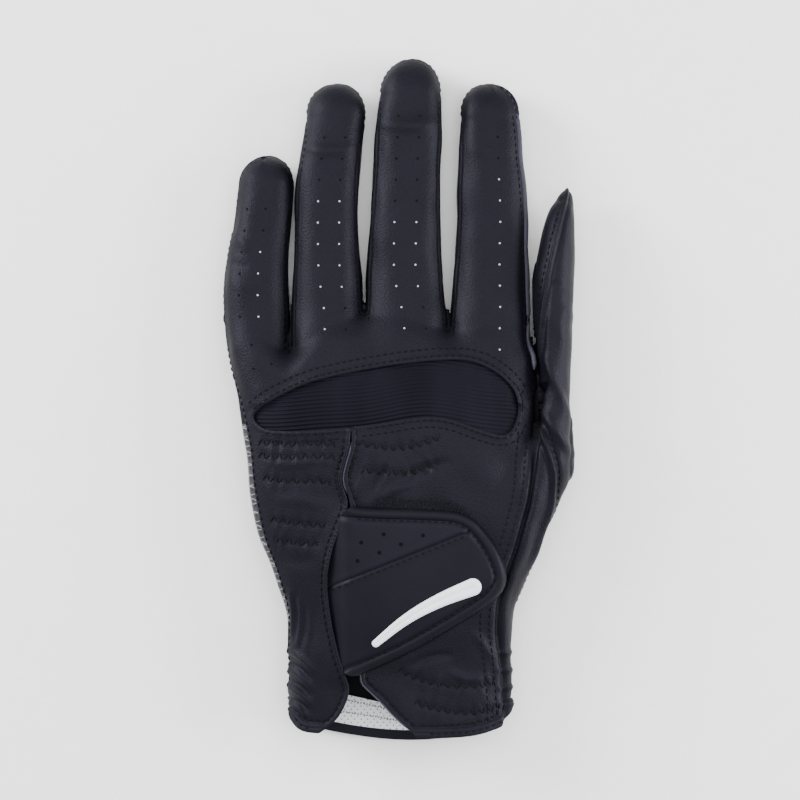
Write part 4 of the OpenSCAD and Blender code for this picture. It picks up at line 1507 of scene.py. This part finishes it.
def build_tab_stitches():
    """One row inside the rim, and one below the diagonal seam."""
    inside = lambda q: plan_distance(TAB_LINE, q) < -1.2
    rows = part_of(offset_line(RIM_LINE, -RIM - 0.45),
                   lambda q: inside(q) & (rim_distance(q) < -RIM - 0.2) & (q[:, 0] > -24))
    rows += part_of(offset_line(along(FACE_SEAM, 0.6)[0], -1.1),
                    lambda q: inside(q) & (rim_distance(q) < -RIM - 1.2))
    thread_object("tab_stitches", stitch_rows(rows, on_tab, 2.3, 1.7, 0.27), "tab")


def bar_distance(xy):
    """Distance from the edge of the tapered bar, negative inside."""
    best = np.full(len(xy), 1e9)
    for a, b in zip(BAR[:-1], BAR[1:]):
        d = b[:2] - a[:2]
        t = np.clip((xy - a[:2]) @ d / (d @ d), 0, 1)
        r = a[2] + (b[2] - a[2]) * t
        best = np.minimum(best, np.linalg.norm(xy - a[:2] - t[:, None] * d, axis=1) - r)
    return best


def build_badge():
    xy, t = plan_piece((-11, 28, -83, -57), 0.32, lambda xy: -bar_distance(xy))
    top = tab_heights(xy)[1]
    crown = 0.75 * np.sqrt(1 - np.clip(1 + bar_distance(xy) / 0.9, 0, 1) ** 2 + 1e-6)
    groove = 0.35 * dip(plan_distance(BAR[:, :2], xy, closed=False), 0.4)
    slab("raised_bar", xy, t, top + 0.2 + crown - groove, top - 0.2, "badge", "tab",
         ["badge"], floor=False)


def build_loop_pad():
    area = rounded(LOOP, 1)
    xy, t = plan_piece((-12, 33, -86, -31), 0.9, lambda xy: -plan_distance(area, xy))
    base = back_height(xy)
    bump = 0.08 * np.sin(xy[:, 0] * 2.1) * np.sin(xy[:, 1] * 1.7)
    slab("loop_pile", xy, t, base + 0.85 + bump, base - 0.4, "loops", "hand", ["loop_pad"],
         floor=False)
    # loose loops: dense along the strip that shows above the tab, thin under it
    spread = []
    for count, left, right, low, high in ((1500, -11, 26, -38, -31.5), (500, -9, 30, -80, -38)):
        spread.append(np.column_stack([rng.uniform(left, right, count), rng.uniform(low, high, count)]))
    where = np.vstack(spread)
    where = where[plan_distance(area, where) < 0.35]
    p = np.column_stack([where, back_height(where) + 0.85])
    angle = rng.uniform(0, 2 * math.pi, len(p))
    direction = np.column_stack([np.cos(angle), np.sin(angle), np.zeros(len(p))])
    up = unit(np.column_stack([rng.normal(0, 0.3, (len(p), 2)), np.ones(len(p))]))
    mesh = beads(p, direction, up, rng.uniform(0.8, 1.6, len(p)), 0.075, 0.42, 3)
    attach(make_object("loop_pile_fuzz", *mesh, MATERIALS["loops"]), "hand")


# ------------------------------------------------------------------------------------------------
# Raised seams and piping: a profile swept along a line
# ------------------------------------------------------------------------------------------------

def sweep(line, up, half, height, sides=8):
    """A half-round ridge along a line in space, standing on the side that up points to."""
    line = np.asarray(line, float)
    across = unit(np.cross(unit(np.gradient(line, axis=0)), up))
    from_end = np.minimum(np.arange(len(line)), np.arange(len(line))[::-1])
    end = np.sqrt(np.clip(from_end / 4, 0.05, 1))[:, None]
    rings = []
    for k in range(sides + 1):
        a = math.pi * k / sides
        rise = up * ((height + 0.5) * math.sin(a) * end - 0.5)
        rings.append(line + across * (half * math.cos(a)) * end + rise)
    w = sides + 1
    i = (np.arange(len(line) - 1)[:, None] * w + np.arange(sides)[None]).ravel()
    tris = np.vstack([np.stack([i, i + 1, i + w + 1], 1), np.stack([i, i + w + 1, i + w], 1)])
    return np.stack(rings, 1).reshape(-1, 3), tris


def build_outseam():
    """The raised seam down the index finger's outer side, from its root on the hand to near the tip."""
    low, yb, high = 10, BEND["index"][0], 96.5
    outer = finger_line("index", 1, 0.0, low, high)
    pieces = (("index_root", "hand", low, yb + 0.8, 0.85, ()),
              ("index_finger", "index_finger", yb, high, 1.15, ["index_outseam"]))
    for label, body, start, end, half, nodes in pieces:
        line = outer[(outer[:, 1] >= start) & (outer[:, 1] <= end)]
        p, n = placed(line, 1.2)
        up = unit(n * [0.6, 1, 1] + [0, 0, 0.7])
        # its material carries a painted highlight: much lighter than the black leather around it
        obj = make_object(f"{label}_outseam", *sweep(p + [-0.2, 0, 0.9], up, half, 0.6), MATERIALS["outseam"])
        attach(obj, body, nodes)
        mesh = stitch_rows([line + [-1.6, 0, 2.0]], placed, 2.3, 1.6, 0.2)
        thread_object(f"{label}_outseam_stitches", mesh, body)


def build_piping():
    """Fine piping down the thumb side of the slit."""
    thumb_side = lambda q: (q[:, 0] > line_at(SLIT_AXIS, q[:, 1])) & between(-110, -12)(q)
    parts = [sweep(*on_back(along(line, 0.7)[0], 0.25), 0.38, 0.5) for line in part_of(SLIT_LINE, thumb_side)]
    attach(make_object("slit_piping", *merged(parts), MATERIALS["piping"]), "hand")


# ------------------------------------------------------------------------------------------------
# More materials
# ------------------------------------------------------------------------------------------------

def plain(name, colour, roughness, scale, bump, vary, sheen=0.0, depth=0.0002, stretch=(1, 1, 1)):
    """A colour with fine and slow unevenness; stretch makes fibres or ribs of the fine noise."""
    m, tree, bsdf = new_material(name)
    where = node(tree, "TexCoord").outputs["Object"]
    fibres = node(tree, "Mapping", Vector=where, Scale=stretch).outputs["Vector"]
    fine = node(tree, "TexNoise", Vector=fibres, Scale=scale, Detail=3.0).outputs["Fac"]
    slow = node(tree, "TexNoise", Vector=where, Scale=90.0, Detail=3.0).outputs["Fac"]
    half = combined(tree, "MULTIPLY", combined(tree, "ADD", fine, slow), 0.5)
    stops = (0.3, [c * (1 - vary) for c in colour]), (0.75, [min(1, c * (1 + vary)) for c in colour])
    surface(tree, bsdf, fine, bump, depth, Base_Color=ramp(tree, half, *stops), Roughness=roughness,
            Specular_IOR_Level=SHINE, Specular_Tint=COOL, Sheen_Weight=sheen)
    return m


def knit():
    """Stretch knit: columns of loops across the ribs, in bands that are stretched more or less."""
    m, tree, bsdf = new_material("stretch_knit")
    where = node(tree, "TexCoord").outputs["Object"]
    loops = node(tree, "TexWave", wave_type="BANDS", bands_direction="X", Vector=where,
                 Scale=1000 / 0.9 / 20 * math.pi, Distortion=1.2, Detail=1.0)
    stretched = node(tree, "Mapping", Vector=where, Scale=(60, 20, 1)).outputs["Vector"]
    bands = node(tree, "TexNoise", Vector=stretched, Scale=1.0, Detail=2.0).outputs["Fac"]
    shade = ramp(tree, bands, (0.25, (0.0026, 0.0024, 0.0044)), (0.8, (0.0058, 0.0054, 0.0096)))
    surface(tree, bsdf, loops.outputs["Fac"], 0.1, 0.0002, Base_Color=shade, Roughness=0.62,
            Specular_IOR_Level=0.07, Specular_Tint=COOL)
    return m


def dotted(name, ground, dot, pitch, size, roughness, crossed=False):
    """A ground with a regular pattern: dots in rows, or a diagonal cross-hatch of fine lines."""
    m, tree, bsdf = new_material(name)
    where = node(tree, "TexCoord").outputs["Object"]
    if crossed:                                       # it runs round the little-finger edge of the hand
        place = node(tree, "SeparateXYZ", Vector=where).outputs
        round_edge = combined(tree, "SUBTRACT", place["X"], place["Z"])
        where = node(tree, "CombineXYZ", X=round_edge, Y=place["Y"]).outputs["Vector"]
    turned = node(tree, "Mapping", Vector=where, Rotation=(0, 0, math.radians(45))).outputs["Vector"]
    parts = node(tree, "SeparateXYZ", Vector=turned).outputs
    turns = 2 * math.pi * 1000 / pitch
    waves = [combined(tree, "COSINE", combined(tree, "MULTIPLY", parts[axis], turns)) for axis in "XY"]
    both = combined(tree, "MAXIMUM" if crossed else "ADD", *waves)
    share = node(tree, "MapRange", Value=both, From_Min=size, From_Max=size + 0.12).outputs["Result"]
    surface(tree, bsdf, both, 0.3, 0.0002, Base_Color=mixed(tree, share, (*ground, 1), (*dot, 1)),
            Roughness=roughness)
    return m


def tone(share):
    return [c * share for c in BLACK]


def build_materials():
    edge_black = (0.0042, 0.0039, 0.0068)
    MATERIALS.update(
        back=leather("back_leather", BLACK),
        side=leather("side_leather", tone(0.85), 0.5, bump=0.16),
        # painted highlight: the raised outseam is the same black leather, coloured far lighter to show the
        # light along it
        outseam=leather("outseam_painted_highlight", (0.034, 0.032, 0.045), 0.4, 0.5, 0.15),
        palm=leather("palm_leather", tone(0.9), 0.5, bump=0.2),
        tab_face=leather("tab_face", tone(1.15), 0.5, 0.3, 0.06),
        tab_leather=leather("tab_leather", tone(0.95), 0.48, 0.3, 0.06),
        tab_binding=leather("tab_binding", tone(0.9), 0.5, 0.35, 0.08),
        binding=plain("edge_binding", edge_black, 0.55, 2200, 0.3, 0.35, stretch=(1, 3, 1)),
        thread=plain("black_thread", (0.0016, 0.0015, 0.0026), 0.6, 3000, 0.3, 0.3),
        piping=plain("slit_piping", (0.026, 0.025, 0.036), 0.35, 2500, 0.2, 0.3),
        suede=plain("inner_suede", (0.006, 0.0058, 0.0075), 0.9, 1600, 0.4, 0.4),
        elastic=plain("elastic_tape", (0.008, 0.008, 0.01), 0.8, 1500, 0.5, 0.5, stretch=(0.3, 3, 1)),
        loops=plain("loop_pile", (0.0065, 0.006, 0.0095), 0.85, 2600, 0.8, 0.7, sheen=0.03),
        hooks=plain("hook_plastic", (0.006, 0.006, 0.008), 0.45, 1500, 0.9, 0.5, depth=0.0006),
        # hole: painted shade inside the holes; hole_light: painted light shining through them
        hole=plain("hole_shadow", (0.0004, 0.0004, 0.0006), 0.9, 1500, 0.1, 0.2),
        hole_light=plain("hole_light", (0.34, 0.34, 0.38), 0.8, 1500, 0.1, 0.2),
        badge=plain("badge_rubber", (0.74, 0.76, 0.82), 0.42, 900, 0.12, 0.08),
        knit=knit(),
        lining=dotted("white_lining", (0.82, 0.83, 0.87), (0.1, 0.1, 0.12), 1.55, 1.55, 0.75),
        patterned=dotted("patterned_leather", (0.0045, 0.0042, 0.0065), (0.3, 0.31, 0.36), 2.5, 0.93, 0.4,
                         True))


# ------------------------------------------------------------------------------------------------
# Stage: floor, lights and camera
# ------------------------------------------------------------------------------------------------

VIEW_WIDTH = 0.2667        # width of the view at the height of the glove's back
VIEW_CENTRE = (0.0, 0.00033, 0.016)
FLOOR_HALF, FLOOR_DROP = 3000, 0.4     # half the floor's width, and how far it lies below the glove, in mm
# Lights: name, place, size and power; they all look at the centre
LIGHTS = (("key", (-0.8, 0.4, 0.42), 0.45, 17.0), ("rim", (0.85, 0.0, 0.32), 0.45, 13.0),
          ("top", (0.1, 0.2, 1.0), 0.8, 8.0))


def build_stage():
    scene = bpy.context.scene
    lens, sensor = 150, 36

    def placed_object(name, data, place):
        obj = bpy.data.objects.new(name, data)
        obj.location = place
        scene.collection.objects.link(obj)
        return obj

    camera = bpy.data.cameras.new("camera")
    camera.lens = lens
    camera.sensor_width = sensor
    camera.clip_end = 20
    above = Vector((0, 0, VIEW_WIDTH * lens / sensor))
    scene.camera = placed_object("camera", camera, Vector(VIEW_CENTRE) + above)
    world = bpy.data.worlds.new("studio")
    world.use_nodes = True
    background = world.node_tree.nodes["Background"]
    background.inputs["Color"].default_value = (1, 1, 1, 1)
    background.inputs["Strength"].default_value = 1.35
    scene.world = world
    for name, place, size, power in LIGHTS:
        light = bpy.data.lights.new(name, "AREA")
        light.energy = power
        light.size = size
        towards = Vector(VIEW_CENTRE) - Vector(place)
        placed_object(name, light, place).rotation_euler = towards.to_track_quat("-Z", "Y").to_euler()
    corners = np.array([(-1, -1, 0), (1, -1, 0), (1, 1, 0), (-1, 1, 0)]) * FLOOR_HALF - [0, 0, FLOOR_DROP]
    material = plain("pale_floor", (0.9, 0.9, 0.9), 0.8, 300, 0.0, 0.02)
    make_object("floor", corners, np.array([(0, 1, 2), (0, 2, 3)]), material)


def clear_default_scene():
    for obj in list(bpy.data.objects):
        bpy.data.objects.remove(obj)


clear_default_scene()
build_stage()
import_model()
build_materials()
build_panels()
build_inside()
build_insert()
build_stitches()
build_zigzags()
build_lining_stitches()
build_perforations()
build_outseam()
build_piping()
build_tab()
build_badge()
build_loop_pad()
